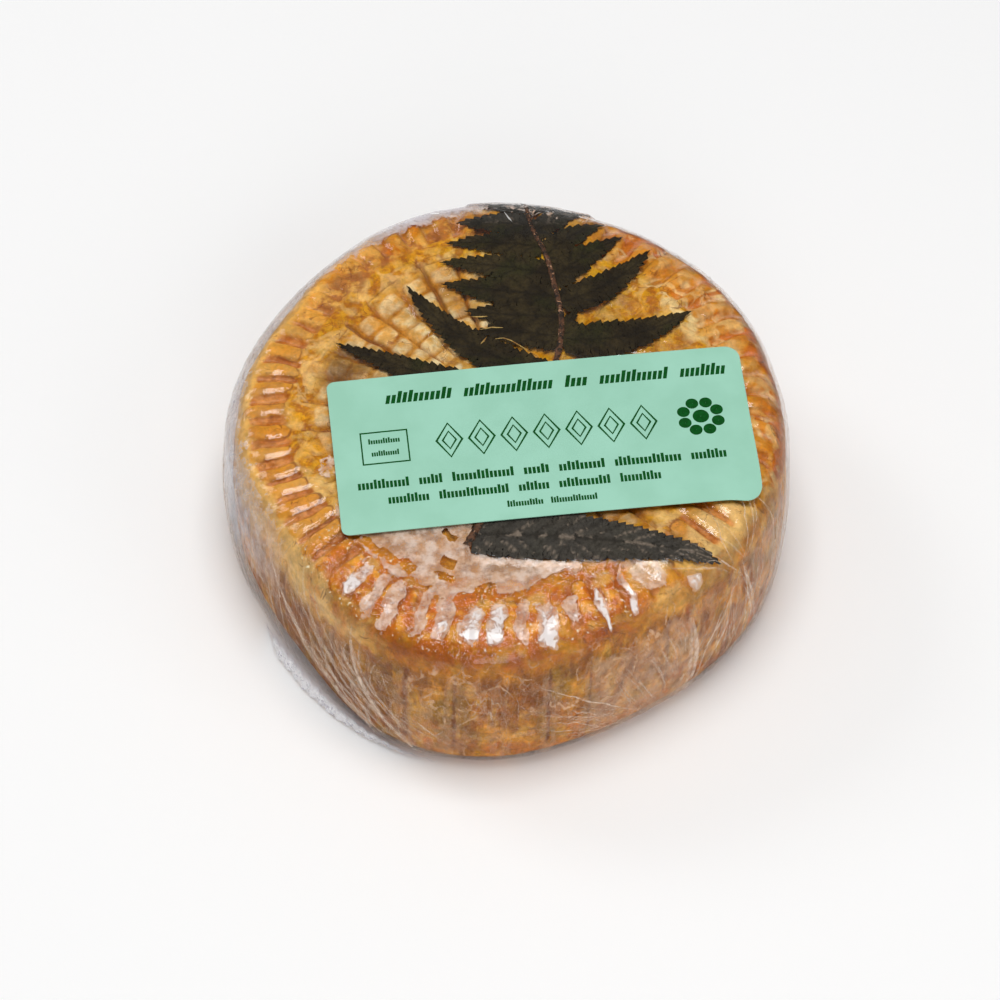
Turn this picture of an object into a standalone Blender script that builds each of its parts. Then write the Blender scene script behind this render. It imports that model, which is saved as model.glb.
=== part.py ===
"""A small drum of washed-rind goat cheese, drawn from a slotted basket mould and wrapped in clear film.

A pressed fern frond lies on the top and hangs over the back shoulder, an oblong sticker lies over
the frond, and loose film stands out from the foot at the front left. Metres, +Z up, +X to the right
and +Y to the back. The part stands on its flat base, centred on the origin.

Everything on the cheese is placed by unrolled coordinates: (x, y) is a point of the skin as measured
with a tape from the middle of the top, so a tape longer than the top runs over the shoulder and down
the wall. The function skin_point turns such a point and a height above the skin into a place.
"""

import math

import bmesh
import bpy
from mathutils import Matrix, Vector, noise

MM = 0.001

# The wheel
WHEEL_RADIUS = 55.9 * MM
WHEEL_HEIGHT = 37.0 * MM
TOP_SHOULDER = 8.0 * MM
FOOT_ROUND = 4.5 * MM
WALL_BULGE = 0.7 * MM
TOP_DOME = 0.8 * MM
TOP_LEAN = math.radians(1.8)  # the right side is the thicker one

# How the outline, seen from above, departs from a circle: (waves round it, share of radius, turn)
OUTLINE_WAVES = (
    (2, 0.026, math.radians(87.0)),
    (3, 0.0125, math.radians(12.0)),
    (4, 0.0145, math.radians(-8.0)),
    (5, 0.013, math.radians(-31.0)),
)

# Marks of the basket mould
RIB_COUNT = 60
COLUMNS_PER_RIB = 4
RIB_COLUMN_SHARES = (0.0, 0.46, 0.58, 0.90)  # groove, groove, crest, crest
RIB_DEPTH = 1.2 * MM
RIB_INNER_INSET = 12.4 * MM  # from the outline to where the ribs begin
RIB_OUTER_INSET = 4.0 * MM
RIB_RAMP = 1.0 * MM
BASE_RIB_DEPTH = 0.7 * MM
BASE_RIB_LENGTH = 6.0 * MM
SPOKE_EVERY_COLUMNS = 10
SPOKE_FIRST_COLUMN = 8
SPOKE_DEPTH = 0.7 * MM
RING_GROOVE_RADIUS = 39.6 * MM
RING_GROOVE_HALF_WIDTH = 1.0 * MM
STAVE_EVERY_COLUMNS = 6
STAVE_DEPTH = 0.6 * MM
LUMP_DEPTH = 0.5 * MM
LUMP_SPACING = 16.0 * MM

# The frond, in unrolled coordinates, from the cut stem in front to the tip down the back wall
CLEARANCE = 0.3 * MM
FROND_THICKNESS = 0.3 * MM
FROND_WAVE = 0.15 * MM
FROND_WAVE_LENGTH = 9.0 * MM
STEM_WIDTH = 1.7 * MM
TIP_STEM_WIDTH = 0.8 * MM
STEM_ROUTE = (
    (-7.2, -32.8),
    (-4.6, -27.0),
    (0.5, -15.0),
    (5.5, -2.0),
    (9.2, 12.5),
    (10.1, 22.5),
    (8.6, 31.5),
    (6.8, 39.5),
    (3.4, 48.5),
    (1.8, 60.0),
    (1.8, 72.0),
)
# Each leaflet that shows: where it leaves the stem (share of the stem), its tip, its bow, its width
SHOWN_LEAFLETS = (
    (0.06, (42.0, -34.5), -2.6, 11.6),
    (0.31, (-34.2, 16.6), 0.6, 8.6),
    (0.37, (-20.8, 31.4), 7.0, 8.4),
    (0.455, (-7.0, 19.8), -1.0, 8.0),
    (0.45, (35.7, 25.4), 5.2, 9.4),
    (0.44, (13.2, 25.4), -1.0, 4.6),
    (0.51, (-9.2, 24.8), 0.4, 8.4),
    (0.55, (27.5, 41.2), 3.8, 7.8),
    (0.568, (-13.9, 31.8), 0.0, 8.8),
    (0.617, (22.0, 44.8), -2.0, 7.2),
    (0.635, (-14.4, 37.6), -1.6, 7.6),
    (0.70, (18.4, 48.4), -2.4, 6.4),
    (0.727, (-13.2, 42.6), -1.4, 6.8),
    (0.77, (15.8, 53.6), -1.6, 5.8),
    (0.79, (-11.4, 48.0), -1.0, 6.2),
)
# The rest, to each side: shares of the stem, and the length and width of a leaflet there
HIDDEN_LEAFLETS = ((0.13, 1), (0.21, 1), (0.21, -1), (0.30, -1), (0.35, -1))
HIDDEN_LEAFLET_SIZE = (28.0 * MM, 8.6 * MM)
TIP_LEAFLET_SHARES = (0.84, 0.88, 0.92, 0.96)
TIP_LEAFLET_SIZE = (12.5 * MM, 5.4 * MM)
TIP_LEAFLET_SHRINK = 0.78
LEAFLET_ANGLE = math.radians(66.0)
TOOTH_PITCH = 3.5 * MM
LEAF_TIP_HALF_WIDTH = 0.35 * MM
TOOTH_DEPTH = 0.95 * MM
FROND_GRID = 14.0 * MM
FROND_FINE_GRID = 2.6 * MM
FROND_FINE_FROM = (34.0 * MM, 45.0 * MM)  # to the right of, and behind, these the frond bends
FROND_WELD = 0.03 * MM

# The sticker
LABEL_SIZE = (81.0 * MM, 37.4 * MM)
LABEL_CENTRE = (6.9 * MM, -7.4 * MM)
LABEL_TURN = math.radians(7.3)
LABEL_CORNER = 2.2 * MM
LABEL_THICKNESS = 0.2 * MM
LABEL_LIFT = 1.15 * MM
LABEL_CELLS = (15, 5)
LABEL_CROWDING = 1.6  # how much its columns crowd to the end that bends over the shoulder

# The loose film at the foot
SKIRT_START = math.radians(178.0)
SKIRT_END = math.radians(266.0)
SKIRT_HEIGHT = 10.0 * MM
SKIRT_REACH = 0.8 * MM
SKIRT_THICKNESS = 0.3 * MM
SKIRT_LIFT = 0.6 * MM
SKIRT_CELLS = (34, 3)
SKIRT_FOLDS = 11
SKIRT_FOLD_DEPTH = 0.45 * MM

COLUMNS = RIB_COUNT * COLUMNS_PER_RIB


def clear_scene():
    for obj in list(bpy.data.objects):
        bpy.data.objects.remove(obj, do_unlink=True)


def material(name, colour, roughness, alpha=1.0):
    """A Principled material of one colour."""
    made = bpy.data.materials.new(name)
    made.use_nodes = True
    shader = made.node_tree.nodes["Principled BSDF"]
    shader.inputs["Base Color"].default_value = (*colour, 1.0)
    shader.inputs["Roughness"].default_value = roughness
    shader.inputs["Metallic"].default_value = 0.0
    shader.inputs["Alpha"].default_value = alpha
    return made


def smooth_step(value, low, high):
    """0 at low, 1 at high, with a soft start and end."""
    share = min(1.0, max(0.0, (value - low) / (high - low)))
    return share * share * (3 - 2 * share)


def outline_radius(angle):
    """The wheel's radius in that direction, seen from above."""
    waves = sum(size * math.cos(count * (angle - turn)) for count, size, turn in OUTLINE_WAVES)
    return WHEEL_RADIUS * (1 + waves)


def top_height(x, y):
    """The height of the top's skin over (x, y), without the mould's marks."""
    share = (x * x + y * y) / WHEEL_RADIUS**2
    return WHEEL_HEIGHT + math.tan(TOP_LEAN) * x + TOP_DOME * (0.5 - share)


def skin_point(x, y, height):
    """The place at that height above the skin, at unrolled (x, y)."""
    tape = math.hypot(x, y)
    angle = math.atan2(y, x)
    outline = outline_radius(angle)
    flat = outline - TOP_SHOULDER
    inner = min(tape, flat)
    across = Vector((math.cos(angle), math.sin(angle), 0))
    edge_height = top_height(*(across * inner).xy) - TOP_SHOULDER
    turn = min(max((tape - flat) / TOP_SHOULDER, 0), math.pi / 2)
    reach = TOP_SHOULDER + height
    radius = inner + reach * math.sin(turn)
    drop = max(tape - flat - TOP_SHOULDER * math.pi / 2, 0)
    wall = edge_height - FOOT_ROUND
    radius += WALL_BULGE * math.sin(math.pi * min(drop / wall, 1))
    rise = reach * math.cos(turn)
    return across * radius + Vector((0, 0, edge_height + rise - drop))


def foot_point(angle, turn, inset, height):
    """A place on the foot's round (turn 0 to a right angle) or the base (inset from its rim)."""
    outline = outline_radius(angle)
    radius = outline - FOOT_ROUND + (FOOT_ROUND - height) * math.sin(turn) - inset
    across = Vector((math.cos(angle), math.sin(angle), 0))
    return across * radius + Vector((0, 0, FOOT_ROUND - (FOOT_ROUND - height) * math.cos(turn)))


def rib_strength(rib):
    """Some grooves are deep and some nearly closed, by a fixed rule."""
    return 0.72 + 0.55 * noise.noise(Vector((rib * 0.83, 4.7, 1.3)))


def column_angle(column):
    """Columns crowd where a rib's sides are."""
    rib, place = divmod(column, COLUMNS_PER_RIB)
    return 2 * math.pi * (rib + RIB_COLUMN_SHARES[place]) / RIB_COUNT


def in_rib_groove(column):
    return column % COLUMNS_PER_RIB < COLUMNS_PER_RIB // 2


def lump(place):
    """The slow hollows of a soft cheese, as a depth."""
    return LUMP_DEPTH * (0.5 + 0.5 * noise.noise(place / LUMP_SPACING))


class Ring:
    """One turned line of the wheel: its place by column, and how strongly each mark shows on it."""

    def __init__(self, kind, offset, ribs=0.0, spokes=0.0, groove=0.0, staves=0.0, lumps=0.0):
        self.kind = kind
        self.offset = offset
        self.ribs = ribs
        self.spokes = spokes
        self.groove = groove
        self.staves = staves
        self.lumps = lumps

    def depth(self, column, place):
        """How far the skin is pressed in."""
        rib = column // COLUMNS_PER_RIB
        deep = self.groove * SPOKE_DEPTH + self.lumps * lump(place)
        if in_rib_groove(column):
            deep += self.ribs * rib_strength(rib)
        if column % SPOKE_EVERY_COLUMNS == SPOKE_FIRST_COLUMN:
            deep = max(deep, self.spokes * SPOKE_DEPTH)
        if column % STAVE_EVERY_COLUMNS == 0:
            deep += self.staves * STAVE_DEPTH
        return deep

    def point(self, column):
        angle = column_angle(column)
        outline = outline_radius(angle)
        across = Vector((math.cos(angle), math.sin(angle)))
        if self.kind == "base":
            turn, inset = self.offset
            place = foot_point(angle, turn, inset, 0)
            return foot_point(angle, turn, inset, self.depth(column, place))
        if self.kind == "top":
            tape = self.offset * (outline - TOP_SHOULDER) / (WHEEL_RADIUS - TOP_SHOULDER)
        elif self.kind == "rim":
            tape = outline - self.offset
        else:
            edge = across * (outline - TOP_SHOULDER)
            wall = top_height(*edge) - TOP_SHOULDER - FOOT_ROUND
            tape = outline - TOP_SHOULDER * (1 - math.pi / 2) + self.offset * wall
        place = skin_point(*(across * tape), 0)
        return skin_point(*(across * tape), -self.depth(column, place))


def wheel_rings():
    """The turned lines from the middle of the top, over the shoulder, to the base."""
    groove_lines = [
        Ring("top", RING_GROOVE_RADIUS + side * RING_GROOVE_HALF_WIDTH, spokes=s, lumps=0.5, groove=g)
        for side, s, g in ((-1, 1, 0), (0, 1, 1), (1, 0, 0))
    ]
    rib_middle = (RIB_INNER_INSET + RIB_OUTER_INSET) / 2
    return [
        Ring("top", 14 * MM, spokes=0.6, lumps=1),
        Ring("top", 27 * MM, spokes=1, lumps=1),
        *groove_lines,
        Ring("rim", RIB_INNER_INSET, lumps=0.4),
        Ring("rim", RIB_INNER_INSET - RIB_RAMP, ribs=RIB_DEPTH, lumps=0.3),
        Ring("rim", rib_middle, ribs=RIB_DEPTH, lumps=0.3),
        Ring("rim", RIB_OUTER_INSET + RIB_RAMP, ribs=RIB_DEPTH, lumps=0.3),
        Ring("rim", RIB_OUTER_INSET, lumps=0.4),
        Ring("rim", 0, lumps=0.6),
        Ring("wall", 0, staves=0.5, lumps=0.6),
        Ring("wall", 0.24, staves=1, lumps=0.8),
        Ring("wall", 0.5),
        Ring("wall", 0.76, staves=1, lumps=0.8),
        Ring("wall", 0.98, staves=0.7, lumps=0.6),
        Ring("base", (math.radians(45), 0), lumps=0.6),
        Ring("base", (0, 0), ribs=BASE_RIB_DEPTH),
        Ring("base", (0, BASE_RIB_LENGTH), ribs=BASE_RIB_DEPTH),
        Ring("base", (0, BASE_RIB_LENGTH + RIB_RAMP)),
    ]


def turned_blank(name, rings):
    """A wheel turned by a Screw, with one profile corner for each ring, made into a mesh."""
    count = len(rings)
    profile = bpy.data.meshes.new(name + "_profile")
    corners = [(0, 0, WHEEL_HEIGHT)]
    for index in range(count):
        share = (index + 1) / (count + 1)
        swell = math.sin(math.pi * share)
        corners.append((WHEEL_RADIUS * swell, 0, WHEEL_HEIGHT * (1 - share)))
    corners.append((0, 0, 0))
    profile.from_pydata(corners, [(i, i + 1) for i in range(count + 1)], [])
    lathe = bpy.data.objects.new(name + "_lathe", profile)
    bpy.context.scene.collection.objects.link(lathe)
    screw = lathe.modifiers.new("turn", "SCREW")
    screw.axis = "Z"
    screw.steps = screw.render_steps = COLUMNS
    screw.use_merge_vertices = True
    screw.merge_threshold = 0.01 * MM
    graph = bpy.context.evaluated_depsgraph_get()
    mesh = bpy.data.meshes.new_from_object(lathe.evaluated_get(graph))
    mesh.name = name
    bpy.data.objects.remove(lathe)
    bpy.data.meshes.remove(profile)
    return mesh


def build_wheel(finish):
    """Turns the blank, then presses each ring's marks into it."""
    rings = wheel_rings()
    mesh = turned_blank("wrapped_cheese", rings)
    last = len(rings) + 1
    for vertex in mesh.vertices:
        line = round((1 - vertex.co.z / WHEEL_HEIGHT) * last)
        if line == 0:
            vertex.co = skin_point(0, 0, -LUMP_DEPTH / 2)
        elif line == last:
            vertex.co = (0, 0, 0)
        else:
            angle = math.atan2(vertex.co.y, vertex.co.x) % (2 * math.pi)
            column = round(angle / (2 * math.pi) * COLUMNS) % COLUMNS
            vertex.co = rings[line - 1].point(column)
    return add_piece("wrapped_cheese", mesh, finish)


def add_piece(name, mesh, finish):
    """An object in the cheese's collection, smooth where its surface turns slowly."""
    obj = bpy.data.objects.new(name, mesh)
    collection.objects.link(obj)
    mesh.materials.clear()
    mesh.materials.append(finish)
    mesh.shade_smooth()
    mesh.set_sharp_from_angle(angle=math.radians(40))
    return obj


def route_point(share):
    """A point of the stem, on a smooth curve through its route, by share of its stations."""
    last = len(STEM_ROUTE) - 1
    place = min(max(share, 0), 0.9999) * last
    index = int(place)
    along = place - index
    a, b, c, d = (Vector(STEM_ROUTE[min(max(index + step, 0), last)]) for step in (-1, 0, 1, 2))
    curved = (
        2 * b
        + (c - a) * along
        + (2 * a - 5 * b + 4 * c - d) * along**2
        + (3 * b - a - 3 * c + d) * along**3
    )
    return curved / 2 * MM


def leaflet_side(length, width):
    """One toothed side of a leaflet as (along, out) points: teeth that lean to the tip."""
    count = max(3, round(length / TOOTH_PITCH))
    points = []
    for tooth in range(count):
        low, high = tooth / count, (tooth + 1) / count
        for share, depth in ((low + 0.12 * (high - low), 1.0), (high - 0.10 * (high - low), 0.0)):
            body = width / 2 * min(1.0, (1 - share) ** 0.62 * 1.35) * smooth_step(share, -0.30, 0.16)
            points.append((share * length, max(body - depth * TOOTH_DEPTH * (1 - share / 2), LEAF_TIP_HALF_WIDTH)))
    return points


def flat_leaflet(start, tip, bow, width):
    """A leaflet's outline in unrolled coordinates: a positive bow hangs towards the stem's foot."""
    chord = tip - start
    length = chord.length
    along = chord / length
    side = Vector((-along.y, along.x))
    lean = bow / 2 if chord.x < 0 else -bow / 2

    def bowed(forward, out):
        share = forward / length
        return start + along * forward + side * (out + lean * 4 * share * (1 - share))

    edge = leaflet_side(length, width)
    upper = [bowed(forward, out) for forward, out in edge]
    lower = [bowed(forward, -out) for forward, out in reversed(edge)]
    return [*upper, bowed(length, 0), *lower]


def flat_stem():
    """The stem's outline in unrolled coordinates."""
    steps = 36
    left, right = [], []
    for step in range(steps + 1):
        share = step / steps
        here = route_point(share)
        ahead = route_point(min(share + 0.01, 1)) - route_point(max(share - 0.01, 0))
        side = Vector((-ahead.y, ahead.x)).normalized()
        half = (STEM_WIDTH + (TIP_STEM_WIDTH - STEM_WIDTH) * share) / 2
        left.append(here + side * half)
        right.append(here - side * half)
    return [*left, *reversed(right)]


def regular_leaflet(share, side, length, width):
    """A leaflet that leaves the stem at the usual angle: side 1 is the left and -1 the right."""
    start = route_point(share)
    ahead = (route_point(share + 0.01) - start).normalized()
    turned = Matrix.Rotation(side * LEAFLET_ANGLE, 2) @ ahead
    return start, start + turned * length, 0, width


def all_leaflets():
    """Start, tip, bow and width of every leaflet."""
    leaflets = [
        (route_point(share), Vector(tip) * MM, bow * MM, width * MM)
        for share, tip, bow, width in SHOWN_LEAFLETS
    ]
    leaflets += [regular_leaflet(share, side, *HIDDEN_LEAFLET_SIZE) for share, side in HIDDEN_LEAFLETS]
    length, width = TIP_LEAFLET_SIZE
    for share in TIP_LEAFLET_SHARES:
        leaflets += [regular_leaflet(share, side, length, width) for side in (1, -1)]
        length *= TIP_LEAFLET_SHRINK
        width *= TIP_LEAFLET_SHRINK
    return leaflets


def prism(name, outline, owner):
    """A flat outline as a 1 mm slab."""
    bm = bmesh.new()
    face = bm.faces.new([bm.verts.new((*point, 0)) for point in outline])
    bmesh.ops.triangulate(bm, faces=[face])
    raised = bmesh.ops.extrude_face_region(bm, geom=bm.faces[:])
    bmesh.ops.translate(
        bm, verts=[v for v in raised["geom"] if isinstance(v, bmesh.types.BMVert)], vec=(0, 0, MM)
    )
    bmesh.ops.recalc_face_normals(bm, faces=bm.faces[:])
    mesh = bpy.data.meshes.new(name)
    bm.to_mesh(mesh)
    bm.free()
    obj = bpy.data.objects.new(name, mesh)
    owner.objects.link(obj)
    return obj


def joined_flat_frond():
    """Stem and leaflets as slabs, joined by one Boolean union, as one mesh."""
    cutters = bpy.data.collections.new("leaflets")
    bpy.context.scene.collection.children.link(cutters)
    for index, leaflet in enumerate(all_leaflets()):
        prism(f"leaflet_{index}", flat_leaflet(*leaflet), cutters)
    stem = prism("stem", flat_stem(), bpy.context.scene.collection)
    union = stem.modifiers.new("join", "BOOLEAN")
    union.operation = "UNION"
    union.operand_type = "COLLECTION"
    union.collection = cutters
    union.solver = "MANIFOLD"
    graph = bpy.context.evaluated_depsgraph_get()
    mesh = bpy.data.meshes.new_from_object(stem.evaluated_get(graph))
    for obj in [*cutters.objects, stem]:
        bpy.data.objects.remove(obj)
    bpy.data.collections.remove(cutters)
    return mesh


def cut_lines(start, end, pitch):
    return [start + pitch * step for step in range(int((end - start) / pitch) + 1)]


def build_frond(finish):
    """The joined outline, split by a grid so that it can bend, laid on the skin and thickened."""
    mesh = joined_flat_frond()
    bm = bmesh.new()
    bm.from_mesh(mesh)
    bmesh.ops.delete(bm, geom=[f for f in bm.faces if f.normal.z < 0.5], context="FACES")
    bmesh.ops.remove_doubles(bm, verts=bm.verts[:], dist=0.02 * MM)
    bmesh.ops.dissolve_limit(
        bm, angle_limit=math.radians(1), verts=bm.verts[:], edges=bm.edges[:]
    )
    reach = WHEEL_RADIUS + WHEEL_HEIGHT
    for axis, fine_from in zip((Vector((1, 0, 0)), Vector((0, 1, 0))), FROND_FINE_FROM):
        coarse = cut_lines(-reach, fine_from, FROND_GRID)
        for offset in [*coarse, *cut_lines(fine_from, reach, FROND_FINE_GRID)]:
            bmesh.ops.bisect_plane(
                bm,
                geom=[*bm.verts, *bm.edges, *bm.faces],
                plane_co=axis * offset,
                plane_no=axis,
                dist=FROND_WELD,
            )
    bmesh.ops.remove_doubles(bm, verts=bm.verts[:], dist=FROND_WELD)
    bmesh.ops.triangulate(bm, faces=bm.faces[:])
    for vertex in bm.verts:
        x, y = vertex.co.xy
        wave = 0.5 + 0.5 * noise.noise(Vector((x, y, 0)) / FROND_WAVE_LENGTH)
        vertex.co = skin_point(x, y, CLEARANCE + FROND_WAVE * wave)
    bmesh.ops.recalc_face_normals(bm, faces=bm.faces[:])
    if sum(face.normal.z * face.calc_area() for face in bm.faces) < 0:
        bmesh.ops.reverse_faces(bm, faces=bm.faces[:])
    bm.to_mesh(mesh)
    bm.free()
    return thickened(add_piece("fern_frond", mesh, finish), FROND_THICKNESS)


def thickened(obj, thickness):
    """Solidify outwards, away from the cheese."""
    shell = obj.modifiers.new("thickness", "SOLIDIFY")
    shell.thickness = thickness
    shell.offset = 1
    return obj


def build_label(finish):
    """The sticker: a flat grid with rounded corners, laid over the frond and bent at the shoulder."""
    bm = bmesh.new()
    bmesh.ops.create_grid(bm, x_segments=LABEL_CELLS[0], y_segments=LABEL_CELLS[1], size=0.5)
    for vertex in bm.verts:
        vertex.co.x = (0.5 - abs(0.5 - vertex.co.x) ** LABEL_CROWDING) * LABEL_SIZE[0]
        vertex.co.y *= LABEL_SIZE[1]
    corners = [v for v in bm.verts if len(v.link_edges) == 2]
    bmesh.ops.bevel(
        bm, geom=corners, offset=LABEL_CORNER, segments=5, profile=0.5, affect="VERTICES"
    )
    bmesh.ops.triangulate(bm, faces=[f for f in bm.faces if len(f.verts) > 4])
    turn_cos, turn_sin = math.cos(LABEL_TURN), math.sin(LABEL_TURN)
    for vertex in bm.verts:
        x, y = vertex.co.xy
        across = x * turn_cos - y * turn_sin + LABEL_CENTRE[0]
        back = x * turn_sin + y * turn_cos + LABEL_CENTRE[1]
        vertex.co = skin_point(across, back, LABEL_LIFT)
    bmesh.ops.recalc_face_normals(bm, faces=bm.faces[:])
    if sum(face.normal.z * face.calc_area() for face in bm.faces) < 0:
        bmesh.ops.reverse_faces(bm, faces=bm.faces[:])
    mesh = bpy.data.meshes.new("label")
    bm.to_mesh(mesh)
    bm.free()
    return thickened(add_piece("label", mesh, finish), LABEL_THICKNESS)


def skirt_point(along, down):
    """A place on the loose film: along it from 0 to 1, and from the wall, 0, to its hem, 1."""
    angle = SKIRT_START + (SKIRT_END - SKIRT_START) * along
    fullness = smooth_step(along, 0, 0.45) * smooth_step(1 - along, 0, 0.3)
    fold = math.cos(2 * math.pi * SKIRT_FOLDS * along + 1.5 * math.sin(7 * along))
    radius = outline_radius(angle) + CLEARANCE + WALL_BULGE * (1 - down)
    radius += (SKIRT_REACH * fullness + SKIRT_FOLD_DEPTH * (0.5 + 0.5 * fold)) * down
    height = SKIRT_LIFT + (SKIRT_HEIGHT - SKIRT_LIFT) * (1 - down) * (0.2 + 0.8 * fullness)
    return Vector((math.cos(angle) * radius, math.sin(angle) * radius, height))


def build_skirt(finish):
    """The film's loose gathers at the foot: a thin wavy sheet."""
    bm = bmesh.new()
    bmesh.ops.create_grid(bm, x_segments=SKIRT_CELLS[0], y_segments=SKIRT_CELLS[1], size=0.5)
    for vertex in bm.verts:
        vertex.co = skirt_point(vertex.co.x + 0.5, vertex.co.y + 0.5)
    bmesh.ops.recalc_face_normals(bm, faces=bm.faces[:])
    middle = Vector((math.cos((SKIRT_START + SKIRT_END) / 2), math.sin((SKIRT_START + SKIRT_END) / 2), 0))
    if sum(face.normal.dot(middle) for face in bm.faces) < 0:
        bmesh.ops.reverse_faces(bm, faces=bm.faces[:])
    mesh = bpy.data.meshes.new("film_skirt")
    bm.to_mesh(mesh)
    bm.free()
    return thickened(add_piece("film_skirt", mesh, finish), SKIRT_THICKNESS)


def stand_on_origin(pieces):
    """Moves every piece so that the whole stands centred on the origin."""
    bpy.context.view_layer.update()
    graph = bpy.context.evaluated_depsgraph_get()
    corners = [Vector(c) for piece in pieces for c in piece.evaluated_get(graph).bound_box]
    low = Vector(map(min, zip(*corners)))
    high = Vector(map(max, zip(*corners)))
    shift = Vector(((low.x + high.x) / 2, (low.y + high.y) / 2, low.z))
    stand = bpy.data.objects.new("stand", None)
    collection.objects.link(stand)
    stand.location = -shift
    for piece in pieces:
        piece.parent = stand


clear_scene()
collection = bpy.data.collections.new("goat_cheese")
bpy.context.scene.collection.children.link(collection)
stand_on_origin(
    [
        build_wheel(material("rind", (0.46, 0.23, 0.08), 0.3)),
        build_frond(material("fern", (0.038, 0.031, 0.018), 0.6)),
        build_label(material("paper", (0.32, 0.62, 0.48), 0.5)),
        build_skirt(material("clear_film", (0.85, 0.85, 0.9), 0.15, alpha=0.35)),
    ]
)
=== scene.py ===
"""Looks for the wrapped goat cheese: rind, film, fern frond, sticker, creases and studio.

The tables hold the places of marks and folds, measured on the photograph.

Every place is given by unrolled coordinates, as a tape measures them on the skin: an angle round the
wheel and a tape length from the middle of the top, over the shoulder, down the wall and in under the
base. The function place turns them and a height above the skin into a point. Lengths are in metres.
"""

import itertools
import math

import bpy
import numpy as np
from mathutils import Matrix, Vector


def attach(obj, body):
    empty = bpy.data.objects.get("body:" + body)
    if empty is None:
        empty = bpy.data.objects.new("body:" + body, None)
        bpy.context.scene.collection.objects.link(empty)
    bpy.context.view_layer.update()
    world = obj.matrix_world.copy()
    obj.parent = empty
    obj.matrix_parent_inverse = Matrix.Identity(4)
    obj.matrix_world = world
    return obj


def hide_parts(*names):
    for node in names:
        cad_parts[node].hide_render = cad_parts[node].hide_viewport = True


MM = 0.001

# The wheel, as in the CAD part
WHEEL_RADIUS = 55.9 * MM
WHEEL_HEIGHT = 37.0 * MM
TOP_SHOULDER = 8.0 * MM
FOOT_ROUND = 4.5 * MM
WALL_BULGE = 0.7 * MM
TOP_DOME = 0.8 * MM
TOP_LEAN = math.tan(math.radians(1.8))
OUTLINE_WAVES = ((2, 0.026, 87.0), (3, 0.0125, 12.0), (4, 0.0145, -8.0), (5, 0.013, -31.0))
STAND_SHIFT = (0.37 * MM, 0.79 * MM)

# Grids
COLUMNS = 720
FILM_COLUMNS = 560
SEGMENT_ROWS = (64, 18, 30, 7, 12)  # top, shoulder, wall, foot, base
FILM_ROWS = (58, 16, 28, 7, 20)

# Mould marks
RIB_COUNT = 60
RIB_DEPTH = 0.9 * MM
RIB_INNER = 12.4 * MM
RIB_OUTER = 4.0 * MM
SPOKE_DEPTH = 0.75 * MM
STUD_ROWS = (10.0, 14.3, 18.6, 22.9, 27.3, 31.7, 36.1)
SPOKE_COUNT, SPOKE_START, SPOKE_PITCH = 36, 6.4, 10  # the last two in degrees
STAVE_DEPTH = 0.4 * MM
LEVEL_DEPTH = 0.15 * MM
KERNEL_DEPTH = 0.55 * MM
PAD_CROWN = 0.25 * MM
BAR_DEPTH = 0.6 * MM
STAVE_COUNT = 40
WALL_LEVELS = (0.14, 0.42, 0.7)  # shares of the wall, from above
PAD_SHIFT = 0.24
# Where the pads round the rim come, as (degrees, count of pads): they aren't quite even
PAD_TABLE = (
    (0.0, 0.0),
    (160.0, 26.7),
    (172.5, 28.75),
    (186.0, 30.75),
    (203.4, 33.72),
    (238.0, 39.74),
    (282.7, 47.74),
    (295.5, 49.74),
    (360.0, 60.0),
)
# Where the film bridges the hollows between pads in front: degrees, the insets of both ends and
# the half width in millimetres, and how strong the bridge's painted white highlight is
BRIDGES = (
    (-124.8, 12.0, 4.1, 1.4, 0.8),
    (-119.3, 13.0, 3.3, 1.3, 0.5),
    (-114.5, 13.2, 2.2, 1.6, 0.4),
    (-107.5, 16.5, 3.8, 1.1, 0.4),
    (-102.8, 13.4, 4.0, 1.6, 0.5),
    (-96.8, 12.4, 4.6, 1.9, 0.8),
    (-91.5, 12.4, 3.9, 1.5, 0.9),
    (-85.8, 11.4, 3.7, 1.3, 0.4),
    (-80.3, 10.7, 1.3, 1.9, 0.9),
    (-74.3, 10.1, 5.0, 1.2, 0.6),
    (-68.0, 9.4, 0.7, 0.6, 0.9),
    (-61.0, 9.6, 1.2, 0.6, 0.9),
    (-54.5, 10.0, 3.5, 2.6, 0.5),
    (-46.5, 2.4, -0.6, 1.5, 0.9),
)
# Places in front where the film touches the cheese inside the ring: degrees, inset and half sizes
CONTACTS = (
    (-127.0, 15.0, 2.6, 0.9),
    (-121.5, 16.0, 1.9, 0.9),
    (-116.0, 16.9, 1.7, 0.9),
    (-111.5, 14.5, 2.6, 0.8),
    (-106.0, 21.5, 1.5, 1.1),
    (-105.5, 17.8, 2.0, 0.9),
    (-99.5, 14.4, 1.4, 1.2),
    (-94.5, 16.6, 1.8, 1.4),
    (-77.5, 15.3, 3.0, 1.4),
    (-119.0, 27.5, 1.5, 0.9),
    (-109.0, 27.0, 1.6, 0.8),
)

# Pale lumps in front: degrees, inset, half sizes round and along, and strength
PALE_LUMPS = (
    (-53.0, 8.5, 7.5, 5.0, 0.85),
    (-64.5, 11.2, 4.5, 1.9, 0.9),
    (-82.0, 12.4, 3.6, 1.9, 0.9),
    (-89.5, 13.4, 3.0, 1.5, 0.8),
    (-94.5, 13.2, 2.6, 1.4, 0.7),
    (-113.0, 14.0, 3.0, 1.3, 0.6),
    (-124.0, 12.5, 3.0, 1.6, 0.6),
    (-94.0, 1.0, 5.0, 1.9, 0.35),
    (-84.5, 1.4, 3.6, 1.5, 0.3),
    (-104.0, 0.6, 3.4, 1.5, 0.3),
    (-72.0, 3.0, 3.0, 1.6, 0.5),
)

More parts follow.
